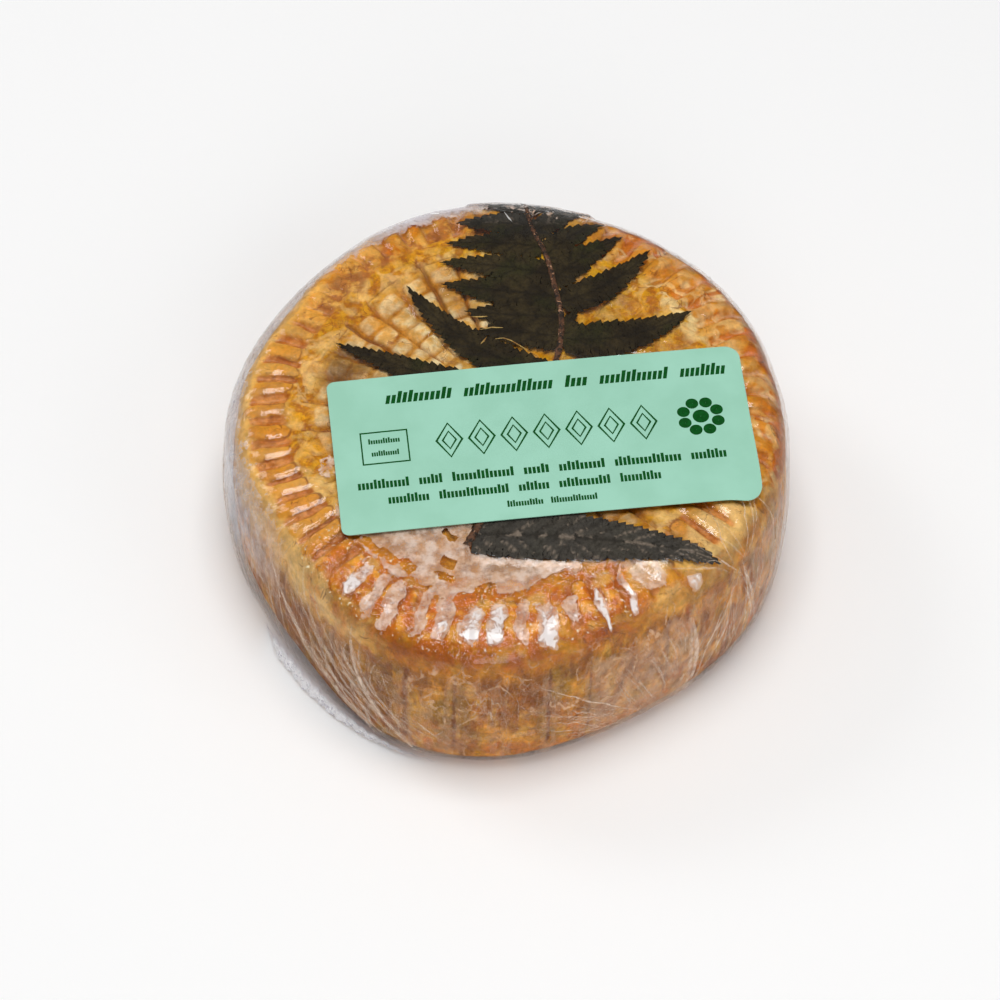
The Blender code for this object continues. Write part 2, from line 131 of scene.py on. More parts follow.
# Milky patches of the film: degrees, inset, half sizes round and along, and strength
TOP_PATCHES = (
    (-158, 20, 5, 9, 0.45),
    (-143, 16, 5, 4, 0.5),
    (112, 1, 30, 6, 0.85),
    (142, 0, 20, 4, 0.7),
    (84, 3, 16, 6, 0.55),
    (40, 1, 10, 3, 0.5),
)
WALL_PATCHES = (
    (-96, -4, 5, 5, 0.35),
    (-120, -14, 12, 9, 0.15),
    (-104, -24, 9, 6, 0.25),
    (-176, -10, 24, 14, 0.28),
    (-138, -20, 26, 16, -0.3),
    (-22, -8, 9, 12, 0.35),
)

# Stretches of the wheel: middle, half width and the width of the soft edge, all in degrees
FRONT = (-97, 34, 12)
FILM_FRONT = (-98, 36, 12)
LEFT = (185, 45, 25)
PALE_LEFT = (196, 34, 22)
BACK = (125, 20, 20)
RIGHT = (20, 40, 15)
PALE_RIGHT = (-35, 14, 12)
# the left, where the film stands off: milky in part, and in part a painted grazing reflection
LEFT_BLOOM_REFLECTING = (172, 38, 14)

FAR_MM, FAR_KERNEL = 3.0, 1.5  # marks stop counting beyond these
LATTICE_SIZE = 64
NOISE_START, NOISE_SALT_STEP = 17.3, 7.7  # keep one noise clear of the origin and of the next one
OCTAVE = 0.43
FILM_IOR = 1.48
FILM_ABOVE_FLOOR = 0.02 * MM
FILM_GAP, FILM_GAP_LEFT = 0.25 * MM, 1.1 * MM  # how far it stands off the cheese, and what the left adds
FILM_OVER_PADS, FILM_OVER_FROND = 0.05 * MM, 0.5 * MM
FROND_TENT = 2.6 * MM  # how far beside a leaflet the film comes down again
BASE_END = 0.985  # the base's grid ends at this share of its length, short of the middle

rng = np.random.default_rng(11)
LATTICE = rng.random((LATTICE_SIZE,) * 3)
RIB_RANDOM = rng.random((8, RIB_COUNT + 1))
RIB_RANDOM[:, -1] = RIB_RANDOM[:, 0]


def soft(value, low, high):
    """0 at low, 1 at high, with a soft start and end."""
    share = np.clip((value - low) / (high - low), 0, 1)
    return share * share * (3 - 2 * share)


def noise(points, size, salt=0.0):
    """Smooth noise from 0 to 1 with features of that size."""
    scaled = points / size + NOISE_START + salt * NOISE_SALT_STEP
    cell = np.floor(scaled).astype(int)
    part = scaled - cell
    part = part * part * (3 - 2 * part)
    total = np.zeros(points.shape[:-1])
    for corner in itertools.product((0, 1), repeat=3):
        shares = [part[..., axis] if step else 1 - part[..., axis] for axis, step in enumerate(corner)]
        i, j, k = ((cell[..., axis] + step) % LATTICE_SIZE for axis, step in enumerate(corner))
        total += shares[0] * shares[1] * shares[2] * LATTICE[i, j, k]
    return total


def cloud(points, size, salt=0.0):
    """Two octaves of noise, from 0 to 1."""
    return 0.65 * noise(points, size, salt) + 0.35 * noise(points, size * OCTAVE, salt + 1)


def outline(angle):
    """The wheel's radius at that angle, without the wall's bulge."""
    waves = sum(s * np.cos(n * (angle - math.radians(a))) for n, s, a in OUTLINE_WAVES)
    return WHEEL_RADIUS * (1 + waves)


def edge_height(angle, flat):
    """The height of the shoulder's middle line."""
    dome = TOP_DOME * (0.5 - (flat / WHEEL_RADIUS) ** 2)
    return WHEEL_HEIGHT + TOP_LEAN * flat * np.cos(angle) + dome - TOP_SHOULDER


def lengths(angle):
    """Tape lengths, at that angle, of the top, shoulder, wall, foot and base."""
    angle = np.asarray(angle, float)
    flat = outline(angle) - TOP_SHOULDER
    wall = edge_height(angle, flat) - FOOT_ROUND
    shoulder = np.full_like(flat, TOP_SHOULDER * math.pi / 2)
    foot = np.full_like(flat, FOOT_ROUND * math.pi / 2)
    return flat, shoulder, wall, foot, outline(angle) - FOOT_ROUND


def place(angle, tape, height=0.0):
    """The point at that height above the skin."""
    angle, tape, height = np.broadcast_arrays(
        np.asarray(angle, float), np.asarray(tape, float), np.asarray(height, float)
    )
    flat, shoulder, wall, foot, _ = lengths(angle)
    inner = np.minimum(tape, flat)
    edge = edge_height(angle, flat)
    turn = np.clip((tape - flat) / TOP_SHOULDER, 0, math.pi / 2)
    drop = np.clip(tape - flat - shoulder, 0, wall)
    foot_turn = np.clip((tape - flat - shoulder - wall) / FOOT_ROUND, 0, math.pi / 2)
    under = np.maximum(tape - flat - shoulder - wall - foot, 0)
    on_top = tape <= flat
    dome = TOP_DOME * (0.5 - (inner / WHEEL_RADIUS) ** 2)
    top_z = WHEEL_HEIGHT + TOP_LEAN * inner * np.cos(angle) + dome + height
    side_z = edge + (TOP_SHOULDER + height) * np.cos(turn) - drop
    side_r = flat + (TOP_SHOULDER + height) * np.sin(turn)
    side_r = side_r + WALL_BULGE * np.sin(math.pi * np.clip(drop / wall, 0, 1))
    foot_r = outline(angle) - FOOT_ROUND + (FOOT_ROUND + height) * np.cos(foot_turn) - under
    foot_z = FOOT_ROUND - (FOOT_ROUND + height) * np.sin(foot_turn)
    below = foot_turn > 0
    radius = np.where(on_top, inner, np.where(below, foot_r, side_r))
    z = np.where(on_top, top_z, np.where(below, foot_z, side_z))
    x = radius * np.cos(angle) + STAND_SHIFT[0]
    y = radius * np.sin(angle) + STAND_SHIFT[1]
    return np.stack([x, y, z], axis=-1)


def polar(x, y):
    """The angle and tape length of a flat place on the top."""
    return np.arctan2(y, x), np.hypot(x, y)


def rows_and_columns(columns, rows):
    """Angles and tape lengths of a grid over the whole skin, rows by columns."""
    angle = np.linspace(0, 2 * math.pi, columns, endpoint=False)
    tapes, start = [], np.zeros_like(angle)
    for index, (length, count) in enumerate(zip(lengths(angle), rows)):
        shares = (np.arange(count) + (0.4 if index == 0 else 0)) / count
        if index == len(rows) - 1:
            shares = shares * BASE_END
        tapes += [start + length * share for share in shares]
        start = start + length
    tape = np.stack(tapes)
    return np.broadcast_to(angle, tape.shape).copy(), tape


def closed_grid(name, points, top_height, base_height, marks, finish):
    """A wheel-shaped piece from a grid of points, closed at both poles, with marks at its points."""
    rows, columns = points.shape[:2]
    poles = [place(0.0, 0.0, top_height), [*STAND_SHIFT, base_height]]
    index = np.arange(rows * columns).reshape(rows, columns)
    ahead = np.roll(index, -1, axis=1)
    faces = np.stack([index[1:], ahead[1:], ahead[:-1], index[:-1]], axis=-1).reshape(-1, 4).tolist()
    ends = ((index[0], ahead[0]), (ahead[-1], index[-1]))
    for pole, (near, far) in enumerate(ends, rows * columns):
        faces += np.stack([np.full(columns, pole), near, far], axis=-1).tolist()
    values = {mark: np.append(grid, [grid[0].mean(), grid[-1].mean()]) for mark, grid in marks.items()}
    return add_piece(name, np.concatenate([points.reshape(-1, 3), poles]), faces, values, finish)


def add_piece(name, vertices, faces, marks, finish):
    """A smooth piece of those faces, with named values at its points."""
    mesh = bpy.data.meshes.new(name)
    mesh.from_pydata(vertices.tolist(), [], faces)
    for mark, values in marks.items():
        attribute = mesh.attributes.new(mark, "FLOAT", "POINT")
        attribute.data.foreach_set("value", np.asarray(values, np.float32))
    mesh.materials.append(finish)
    mesh.shade_smooth()
    return add_object(name, mesh)


def add_object(name, data):
    """A new object at the origin, in the scene."""
    obj = bpy.data.objects.new(name, data)
    bpy.context.scene.collection.objects.link(obj)
    return obj


def sector(angle, centre, half_width, edge):
    """1 within half_width degrees of centre, 0 from edge degrees further."""
    away = np.abs((np.degrees(angle) - centre + 180) % 360 - 180)
    return 1 - soft(away, half_width, half_width + edge)


def warp(angle, tape):
    """The same place pushed about a little, so that no mark is straight."""
    skin = place(angle, tape)
    around = 1.6 * MM * (cloud(skin, 6 * MM, 30) - 0.5)
    along = 1.8 * MM * (cloud(skin, 6 * MM, 33) - 0.5)
    return angle + around / np.maximum(tape, 12 * MM), tape + along


def between(values, turn):
    """A value per pad, run evenly from each pad's middle to the next one's."""
    values = values[:RIB_COUNT]
    wrapped = np.concatenate([values[-1:], values, values[:1]])
    return np.interp(turn, np.arange(RIB_COUNT + 2) - 0.5, wrapped)


def rim_pads(angle, tape):
    """Of the pads round the rim: how far from a pad's middle (1 at its edge), the pad's number,
    how deep the hollow beside it is, how its crown falls off, and 0 at its outer end."""
    angle, tape = warp(angle, tape)
    inset = outline(angle) - tape
    degrees, counts = zip(*PAD_TABLE)
    turn = (np.interp(np.degrees(angle) % 360, degrees, counts) - PAD_SHIFT) % RIB_COUNT
    pad = np.minimum(turn.astype(int), RIB_COUNT - 1)
    away = turn - pad - 0.5 + 0.14 * (RIB_RANDOM[4, pad] - 0.5)
    away = away + 0.16 * (RIB_RANDOM[7, pad] - 0.5) * (inset / MM - 8) / 4
    half = 0.24 + 0.13 * RIB_RANDOM[0, pad] + 0.05 * sector(angle, -40, 20, 10)  # broader at the right
    inner = RIB_INNER + 2.4 * MM * (between(RIB_RANDOM[1], turn) - 0.5)
    inner = inner - 1.8 * MM * sector(angle, 130, 25, 30)
    outer = RIB_OUTER + 2.4 * MM * (between(RIB_RANDOM[2], turn) - 0.6)
    outer = outer + 1.2 * MM * sector(angle, 170, 30, 40)
    across = away / half
    along = (inset - (inner + outer) / 2) / ((inner - outer) / 2)
    outward = np.where(along < 0, 0.82, 1.0)
    distance = (np.abs(across) ** 2.6 + np.abs(along * outward) ** 5) ** 0.33
    hollow = soft(np.abs(across), 0.75, 1.2) * (1 - soft(np.abs(along), 0.9, 1.25))
    hollow = hollow * (0.5 + 0.7 * between(RIB_RANDOM[3], turn))
    crown = np.minimum(np.abs(across), 1) ** 2 * (1 - soft(np.abs(along), 0.7, 1.2))
    return np.minimum(distance, 1.35), pad, hollow, crown, soft(along, -1.0, -0.3)


def apart(angle, centre):
    """The angle from centre, between minus pi and pi."""
    return (angle - centre + math.pi) % (2 * math.pi) - math.pi


def top_marks(angle, tape):
    """Of the inner top: the distance in millimetres to its lines, and the distance from its kernels'
    middles, 1 at their edges, with how much each shows."""
    angle, tape = warp(angle, tape)
    flat = outline(angle) - TOP_SHOULDER
    radius = tape * (WHEEL_RADIUS - TOP_SHOULDER) / flat
    window = soft(radius, 12 * MM, 18 * MM) * (1 - soft(radius, 40.5 * MM, 42.5 * MM))
    line = np.full_like(tape, FAR_MM)
    kernel = np.full_like(tape, FAR_KERNEL)
    shown = np.zeros_like(tape)
    for wedge in range(SPOKE_COUNT):
        start, following = (math.radians(SPOKE_START + SPOKE_PITCH * k) for k in (wedge, wedge + 1))
        away = np.abs(apart(angle, start))
        here = away * tape / MM + 0.5 * RIB_RANDOM[4, wedge]
        line = np.where(away < 0.2, np.minimum(line, here), line)
        away = apart(angle, (start + following) / 2)
        for index, row in enumerate(STUD_ROWS):
            wide = (1.0 + 0.026 * row + 0.5 * RIB_RANDOM[5, (wedge * 3 + index * 11) % RIB_COUNT]) * MM
            high = (1.5 + 0.35 * RIB_RANDOM[6, (wedge * 7 + index * 5) % RIB_COUNT]) * MM
            here = np.abs(away * tape / wide) ** 5 + np.abs((radius - row * MM) / high) ** 5
            here = np.where(np.abs(away) < 0.2, here**0.2, FAR_KERNEL)
            present = RIB_RANDOM[7, (wedge * 5 + index * 7) % RIB_COUNT]
            shown = np.where(here < kernel, present, shown)
            kernel = np.minimum(kernel, here)
    ring = np.abs(radius / MM - 39.8) + 0.4
    line = np.minimum(line + FAR_MM * (1 - window), ring)
    return line, kernel + (1 - window), shown


def staves(angle, tape):
    """Distances in millimetres to the wall's upright lines and to its faint level ones."""
    flat, shoulder, wall, _, _ = lengths(angle)
    pushed, _ = warp(angle, tape)
    share = (tape - flat - shoulder) / wall
    window = soft(share, -0.25, 0.06) * (1 - soft(share, 0.93, 1.05))
    line, across = np.full_like(tape, FAR_MM), np.full_like(tape, FAR_MM)
    for index in range(STAVE_COUNT):
        centre = math.radians(6 * (3 * (index // 2) + 1.58 * (index % 2)))
        line = np.minimum(line, np.abs(apart((angle + pushed) / 2, centre)) * WHEEL_RADIUS / MM)
    for level in WALL_LEVELS:
        across = np.minimum(across, np.abs((share - level) * wall) / MM)
    return line + FAR_MM * (1 - window), across + FAR_MM * (1 - window)


def base_marks(angle, tape):
    """Short bars under the rim of the base."""
    under = tape - sum(lengths(angle)[:4])
    phase = (angle / (2 * math.pi) * RIB_COUNT) % 1
    pressed = 1 - soft(np.abs(phase - 0.23), 0.16, 0.28)
    return pressed * soft(under, -1 * MM, 0.5 * MM) * (1 - soft(under, 6 * MM, 7 * MM))


def stand_off(angle, tape):
    """How far the film stands off the cheese, besides its own marks."""
    flat, shoulder, wall, _, _ = lengths(angle)
    share = (tape - flat) / (shoulder + wall)
    side = soft(share, 0.05, 0.35)
    left = sector(angle, 185, 35, 30)
    return FILM_GAP + side * (FILM_GAP + FILM_GAP_LEFT * left)


# Fern

STEM_ROUTE = (
    (-7.2, -32.8),
    (-4.6, -27.0),
    (0.5, -15.0),
    (5.5, -2.0),
    (9.2, 12.5),
    (10.1, 22.5),
    (8.6, 31.5),
    (6.8, 39.5),
    (3.4, 48.5),
    (1.8, 60.0),
    (1.8, 72.0),
)
SHOWN_LEAFLETS = (
    (0.06, (42.0, -34.5), -2.6, 11.6),
    (0.31, (-34.2, 16.6), 0.6, 8.6),
    (0.37, (-20.8, 31.4), 7.0, 8.4),
    (0.455, (-7.0, 19.8), -1.0, 8.0),
    (0.45, (35.7, 25.4), 5.2, 9.4),
    (0.44, (13.2, 25.4), -1.0, 4.6),
    (0.51, (-9.2, 24.8), 0.4, 8.4),
    (0.55, (27.5, 41.2), 3.8, 7.8),
    (0.568, (-13.9, 31.8), 0.0, 8.8),
    (0.617, (22.0, 44.8), -2.0, 7.2),
    (0.635, (-14.4, 37.6), -1.6, 7.6),
    (0.7, (18.4, 48.4), -2.4, 6.4),
    (0.727, (-13.2, 42.6), -1.4, 6.8),
    (0.77, (15.8, 53.6), -1.6, 5.8),
    (0.79, (-11.4, 48.0), -1.0, 6.2),
)
HIDDEN_LEAFLETS = ((0.13, 1), (0.21, 1), (0.21, -1), (0.3, -1), (0.35, -1))
HIDDEN_LEAFLET_SIZE = (28.0 * MM, 8.6 * MM)
TIP_LEAFLET_SHARES = (0.84, 0.88, 0.92, 0.96)
TIP_LEAFLET_SIZE = (12.5 * MM, 5.4 * MM)
TIP_LEAFLET_SHRINK = 0.78
LEAFLET_ANGLE = math.radians(66.0)
LEAF_LAYER = 0.12 * MM
LEAF_ROW, LEAF_COLUMNS = 0.16 * MM, 15
STEM_ROWS, STEM_COLUMNS = 220, 9
STEM_HALF_WIDTHS = (0.8, 0.38)  # at both ends, in millimetres
STEM_LAYER, STEM_HEIGHT = 0.16 * MM, 0.34 * MM
LOBE_PITCH = 3.7 * MM
TOOTH_PITCH = 1.55 * MM


def route_point(share):
    """A point of the stem, on a smooth curve through its route."""
    last = len(STEM_ROUTE) - 1
    at = min(max(share, 0), 0.9999) * last
    index = int(at)
    along = at - index
    a, b, c, d = (np.array(STEM_ROUTE[min(max(index + step, 0), last)]) for step in (-1, 0, 1, 2))
    curved = 2 * b + (c - a) * along
    curved = curved + (2 * a - 5 * b + 4 * c - d) * along**2 + (3 * b - a - 3 * c + d) * along**3
    return curved / 2 * MM


def turned(x, y, turn):
    """The flat point turned anticlockwise round the origin."""
    cos, sin = math.cos(turn), math.sin(turn)
    return x * cos - y * sin, x * sin + y * cos


def all_leaflets():
    """Start, tip, bow and width of every leaflet, as in the CAD part."""
    leaflets = [
        (route_point(share), np.array(tip) * MM, bow * MM, width * MM)
        for share, tip, bow, width in SHOWN_LEAFLETS
    ]

    def regular(share, side, length, width):
        start = route_point(share)
        ahead = route_point(share + 0.01) - start
        ahead = ahead / np.hypot(*ahead)
        return start, start + np.array(turned(*ahead, side * LEAFLET_ANGLE)) * length, 0.0, width

    leaflets += [regular(share, side, *HIDDEN_LEAFLET_SIZE) for share, side in HIDDEN_LEAFLETS]
    length, width = TIP_LEAFLET_SIZE
    for share in TIP_LEAFLET_SHARES:
        leaflets += [regular(share, side, length, width) for side in (1, -1)]
        length *= TIP_LEAFLET_SHRINK
        width *= TIP_LEAFLET_SHRINK
    return leaflets


def leaf_body(share):
    """Half-width of a leaflet as a share of its greatest, by share of its length."""
    return np.minimum(1.0, (1 - np.clip(share, 0, 1)) ** 0.62 * 1.35) * soft(share, -0.3, 0.16)


def leaf_frame(start, tip, bow):
    """A leaflet's length, its directions along and across, and how far its middle leans across."""
    chord = tip - start
    length = float(np.hypot(*chord))
    along = chord / length
    side = np.array([-along[1], along[0]])
    lean = bow / 2 if chord[0] < 0 else -bow / 2
    return length, along, side, lean


def fern_cover(angle, tape, fade=0.9 * MM):
    """How much the frond lies under the film there, from 0 to 1, with soft edges."""
    x, y = tape * np.cos(angle), tape * np.sin(angle)
    cover = np.zeros_like(x)
    for start, tip, bow, width in all_leaflets():
        length, along, side, lean = leaf_frame(start, tip, bow)
        forward = (x - start[0]) * along[0] + (y - start[1]) * along[1]
        out = (x - start[0]) * side[0] + (y - start[1]) * side[1]
        share = forward / length
        out = out - lean * 4 * share * (1 - share)
        half = width / 2 * leaf_body(share)
        inside = 1 - soft(np.abs(out) - half, -0.4 * MM, fade)
        inside = inside * soft(share, -0.04, 0.02) * (1 - soft(share, 0.97, 1.02))
        cover = np.maximum(cover, inside)
    return cover


# Shader helpers


class Finish:
    """A node material, built by short calls that return sockets."""

    def __init__(self, name):
        self.material = bpy.data.materials.new(name)
        self.material.use_nodes = True
        self.tree = self.material.node_tree
        self.tree.nodes.clear()
        self.out = self.tree.nodes.new("ShaderNodeOutputMaterial")
        self.where = self.node("TexCoord", "Object")

    def put(self, socket, value):
        """Links or sets an input. A colour with a number above 1 is sRGB of 0 to 255, others are linear."""
        if isinstance(value, bpy.types.NodeSocket):
            self.tree.links.new(value, socket)
        elif isinstance(value, tuple) and len(value) == 3 and socket.type == "RGBA":
            socket.default_value = (*(linear(*value) if max(value) > 1 else value), 1.0)
        else:
            socket.default_value = value

    def node(self, kind, output=0, settings=(), **inputs):
        """A node's output. An input is named as on the node, or by n and its number."""
        made = self.tree.nodes.new("ShaderNode" + kind)
        for key, value in dict(settings).items():
            setattr(made, key, value)
        for key, value in inputs.items():
            key = key.replace("_", " ")
            self.put(made.inputs[int(key[1:]) if key[0] == "n" and key[1:].isdigit() else key], value)
        return made.outputs[output]

    def mark(self, name):
        """The value that the mesh carries under that name."""
        return self.node("Attribute", "Fac", {"attribute_name": name})

    def noise(self, size, detail=3.0, rough=0.55, warp=0.0, stretch=None):
        """Noise from 0 to 1, with features of that size in millimetres."""
        where = self.where
        if stretch:
            where = self.node("Mapping", Vector=where, Scale=stretch)
        return self.node(
            "TexNoise", "Fac", Vector=where, Scale=1 / (size * MM), Detail=detail, Roughness=rough,
            Distortion=warp,
        )

    def ramp(self, value, low, high, start=0.0, end=1.0):
        """The value's share from low to high. A tuple stands for the noise of those arguments."""
        if isinstance(value, tuple):
            value = self.noise(*value)
        settings = {"interpolation_type": "SMOOTHSTEP"}
        return self.node("MapRange", 0, settings, n0=value, n1=low, n2=high, n3=start, n4=end)

    def maths(self, kind, a, b=0.5):
        return self.node("Math", 0, {"operation": kind}, n0=a, n1=b)

    def swing(self, *noise):
        """Noise from -0.5 to 0.5."""
        return self.less(self.noise(*noise), 0.5)

    def veins(self, *noise):
        """How far that noise is from its middle: next to nothing along thin winding lines."""
        return self.maths("ABSOLUTE", self.swing(*noise))

    def times(self, a, b):
        return self.maths("MULTIPLY", a, b)

    def plus(self, a, b):
        return self.maths("ADD", a, b)

    def less(self, a, b):
        return self.maths("SUBTRACT", a, b)

    def most(self, a, b):
        return self.maths("MAXIMUM", a, b)

    def blend(self, factor, a, b):
        return self.node("Mix", 2, {"data_type": "RGBA"}, n0=factor, n6=a, n7=b)

    def coats(self, colour, *coats):
        """The colour under one coat after another, each a share and a colour."""
        for share, coat in coats:
            colour = self.blend(share, colour, coat)
        return colour

    def vary(self, colour, **inputs):
        return self.node("HueSaturation", Color=colour, **inputs)

    def bump(self, height, distance, strength=1.0, normal=None):
        """A bump over the normal, the distance in millimetres."""
        below = {"Normal": normal} if normal else {}
        return self.node("Bump", Height=height, Distance=distance * MM, Strength=strength, **below)

    def principled(self, **inputs):
        return self.node("BsdfPrincipled", **inputs)

    def shaders(self, factor, a, b):
        return self.node("MixShader", n0=factor, n1=a, n2=b)

    def clear_film(self, colour, roughness, normal, *shares):
        """See-through film, with its reflections times those shares."""
        gloss = self.node("BsdfGlossy", Color=(1, 1, 1), Roughness=roughness, Normal=normal)
        reflected = self.node("Fresnel", IOR=FILM_IOR, Normal=normal)
        for share in shares:
            reflected = self.times(reflected, share)
        return self.shaders(reflected, self.see_through(colour), gloss)

    def see_through(self, colour):
        return self.node("BsdfTransparent", Color=colour)

    def done(self, shader):
        self.tree.links.new(shader, self.out.inputs["Surface"])
        return self.material


def linear(red, green, blue):
    """An sRGB colour of 0 to 255 as the linear one that shaders take."""
    shares = [c / 255 for c in (red, green, blue)]
    return tuple(c / 12.92 if c <= 0.04045 else ((c + 0.055) / 1.055) ** 2.4 for c in shares)


def rind_finish():
    """A washed rind: gold, cream and orange, with its marks picked out in brown and cream."""
    f = Finish("washed_rind")
    broad = f.swing(4.4, 3, 0.5, 0.7)
    ragged = f.plus(f.times(f.swing(1.3, 4, 0.62), 0.55), f.times(broad, 0.35))

    def worn(mark, start, end, strength=1.0, amount=1.0):
        """A mark's share from start to end, with a ragged edge."""
        return f.ramp(f.plus(f.mark(mark), f.times(ragged, amount)), start, end, 0.0, strength)

    def patchy(mark, *ramp):
        """A mark, where that ramp of noise lets it show."""
        return f.times(f.mark(mark), f.ramp(*ramp))

    # Ground: gold with cream and orange blotches, then kernels of the inner top on brown-gold
    blotch = f.plus(f.noise(4.8, 3, 0.55, 0.9), f.times(f.mark("cream"), 0.2))
    stain = f.plus(f.noise(6.5, 4, 0.6, 1.2), f.times(f.mark("orange"), 0.24))
    yellow = f.blend(f.ramp((2.3, 5, 0.66, 0.5), 0.38, 0.62), (182, 114, 16), (238, 184, 64))
    yellow = f.blend(f.ramp((4.6, 3, 0.5, 0.6), 0.5, 0.66, 0.0, 0.75), yellow, (246, 208, 124))
    vein = f.ramp(f.veins(6.5, 2, 0.5, 1.2), 0.02, 0.12, 1.0, 0.0)
    vein = f.times(vein, f.ramp((7, 2), 0.42, 0.56, 0.0, 0.7))
    rows = f.blend(f.ramp((3.5, 4, 0.6), 0.4, 0.62), (170, 108, 36), (222, 162, 74))
    lump = f.blend(f.ramp((2.6, 3), 0.38, 0.62), (236, 190, 112), (252, 232, 182))
    colour = f.coats(
        f.blend(f.ramp(blotch, 0.42, 0.68), (214, 144, 42), (240, 192, 106)),
        (f.ramp(stain, 0.54, 0.74, 0.0, 0.85), (212, 118, 32)),
        (worn("gold", 0.35, 0.75, 0.9), yellow),
        (f.times(vein, f.mark("veined")), (250, 224, 164)),
        (f.times(f.mark("disc"), 0.85), rows),
        (f.times(worn("kernel", 1.25, 0.85, 1.0, 0.7), f.mark("shown")), lump),
        (f.times(patchy("dull", (4, 5, 0.66), 0.34, 0.56, 0.55, 1.0), 0.85), (120, 80, 34)),
        (worn("spoke", 0.8, 0.25, 0.75, 1.0), (140, 84, 30)),
    )
    # Wall
    red = f.plus(f.noise(5.5, 4, 0.6), f.times(f.mark("foot"), 0.14))
    drawn = f.noise(3.2, 3, 0.55, 0.2, (1, 1, 0.4))
    wall = f.coats(
        f.blend(f.ramp((5.5, 3, 0.5, 0.3, (1, 1, 0.6)), 0.4, 0.62), (172, 106, 44), (224, 158, 70)),
        (f.ramp((7, 3, 0.6, 0.3, (1, 1, 0.6)), 0.46, 0.64, 0.0, 0.85), (160, 118, 40)),
        (f.ramp(red, 0.56, 0.74, 0.0, 0.6), (190, 104, 52)),
        (f.ramp(drawn, 0.49, 0.32, 0.0, 0.65), (124, 66, 24)),
        (f.ramp(drawn, 0.51, 0.68, 0.0, 0.65), (238, 188, 92)),
        (worn("stave", 0.8, 0.2, 0.7, 1.2), (116, 56, 30)),
        (worn("level", 0.6, 0.1, 0.4, 1.2), (130, 76, 30)),
        # painted shade: the lower left of the wall darkened to brown
        (f.times(f.mark("brown"), 0.6), (128, 76, 32)),
    )
    # Pads, the hollows between them and the brown line round each pad
    hollow = f.blend(f.ramp((2.6, 4), 0.38, 0.6), (180, 100, 42), (222, 158, 98))
    pale = f.blend(f.mark("hue"), (220, 152, 70), (244, 196, 110))
    pale = f.blend(f.ramp((2.8, 3, 0.5), 0.42, 0.62, 0.0, 0.7), pale, (220, 160, 66))
    wet = f.blend(f.ramp((2.6, 3, 0.5), 0.38, 0.62), (212, 120, 40), (246, 186, 84))
    rim = f.times(worn("pad", 0.86, 0.98, 1.0, 0.8), worn("pad", 1.2, 1.04, 1.0, 0.8))
    rim = f.times(f.times(rim, f.mark("edge")), f.ramp((3, 2), 0.35, 0.6, 0.3, 1.0))
    chalk = f.ramp(f.plus(f.mark("chalk"), f.times(broad, 1.6)), 0.3, 0.9, 0.0, 0.8)
    crack = f.ramp(f.veins(8, 3, 0.55, 1.6), 0.0, 0.014, 1.0, 0.0)
    colour = f.coats(
        colour,
        (f.mark("wall"), wall),
        (patchy("shoulder", (4.4, 3, 0.5, 0.3), 0.46, 0.64, 0.0, 0.8), (230, 176, 78)),
        (patchy("shoulder", (5, 4, 0.6, 0.5), 0.52, 0.68, 0.0, 0.55), (186, 92, 28)),
        (patchy("pale_band", (6, 3, 0.55, 0.5), 0.38, 0.56, 0.25, 1.0), (242, 202, 132)),
        (f.times(patchy("stained", (3.4, 3, 0.55), 0.44, 0.56), 0.8), (176, 112, 66)),
        (worn("hollow", 0.2, 0.7, 0.8, 1.1), hollow),
        (f.times(worn("pad", 1.1, 0.84, 0.9, 0.8), f.mark("padded")), f.blend(f.mark("front"), pale, wet)),
        (f.times(rim, 0.85), (140, 76, 30)),
        (chalk, f.blend(f.mark("front"), (248, 216, 150), (238, 192, 104))),
        (f.times(crack, f.ramp((5, 2), 0.45, 0.6, 0.0, 0.7)), (138, 74, 28)),
    )
    # Specks of light and dark in three sizes
    colour = f.vary(colour, Value=f.ramp((2.8, 4, 0.6, 0.4), 0.34, 0.66, 0.86, 1.12))
    colour = f.vary(colour, Value=f.ramp((0.9, 4, 0.65), 0.3, 0.72, 0.88, 1.12), Saturation=1.06)
    crisp = f.ramp((1.6, 4, 0.65, 0.3), 0.36, 0.64, 0.88, 1.12)
    colour = f.vary(colour, Value=crisp, Fac=f.mark("wall"))
    rough = f.ramp((3,), 0.3, 0.7, 0.32, 0.55)
    normal = f.bump(f.noise(2.2, 3, 0.55), 0.7, 0.7)
    normal = f.bump(f.noise(2.4, 4, 0.6, 0.8, (1, 1, 0.35)), 0.8, f.mark("wall"), normal)
    normal = f.bump(f.noise(1.6, 3, 0.55), 0.6, f.times(f.mark("front"), 0.5), normal)
    normal = f.bump(f.noise(0.7, 3, 0.6), 0.14, 0.5, normal)
    return f.done(f.principled(Base_Color=colour, Roughness=rough, Normal=normal, Specular_IOR_Level=0.25))


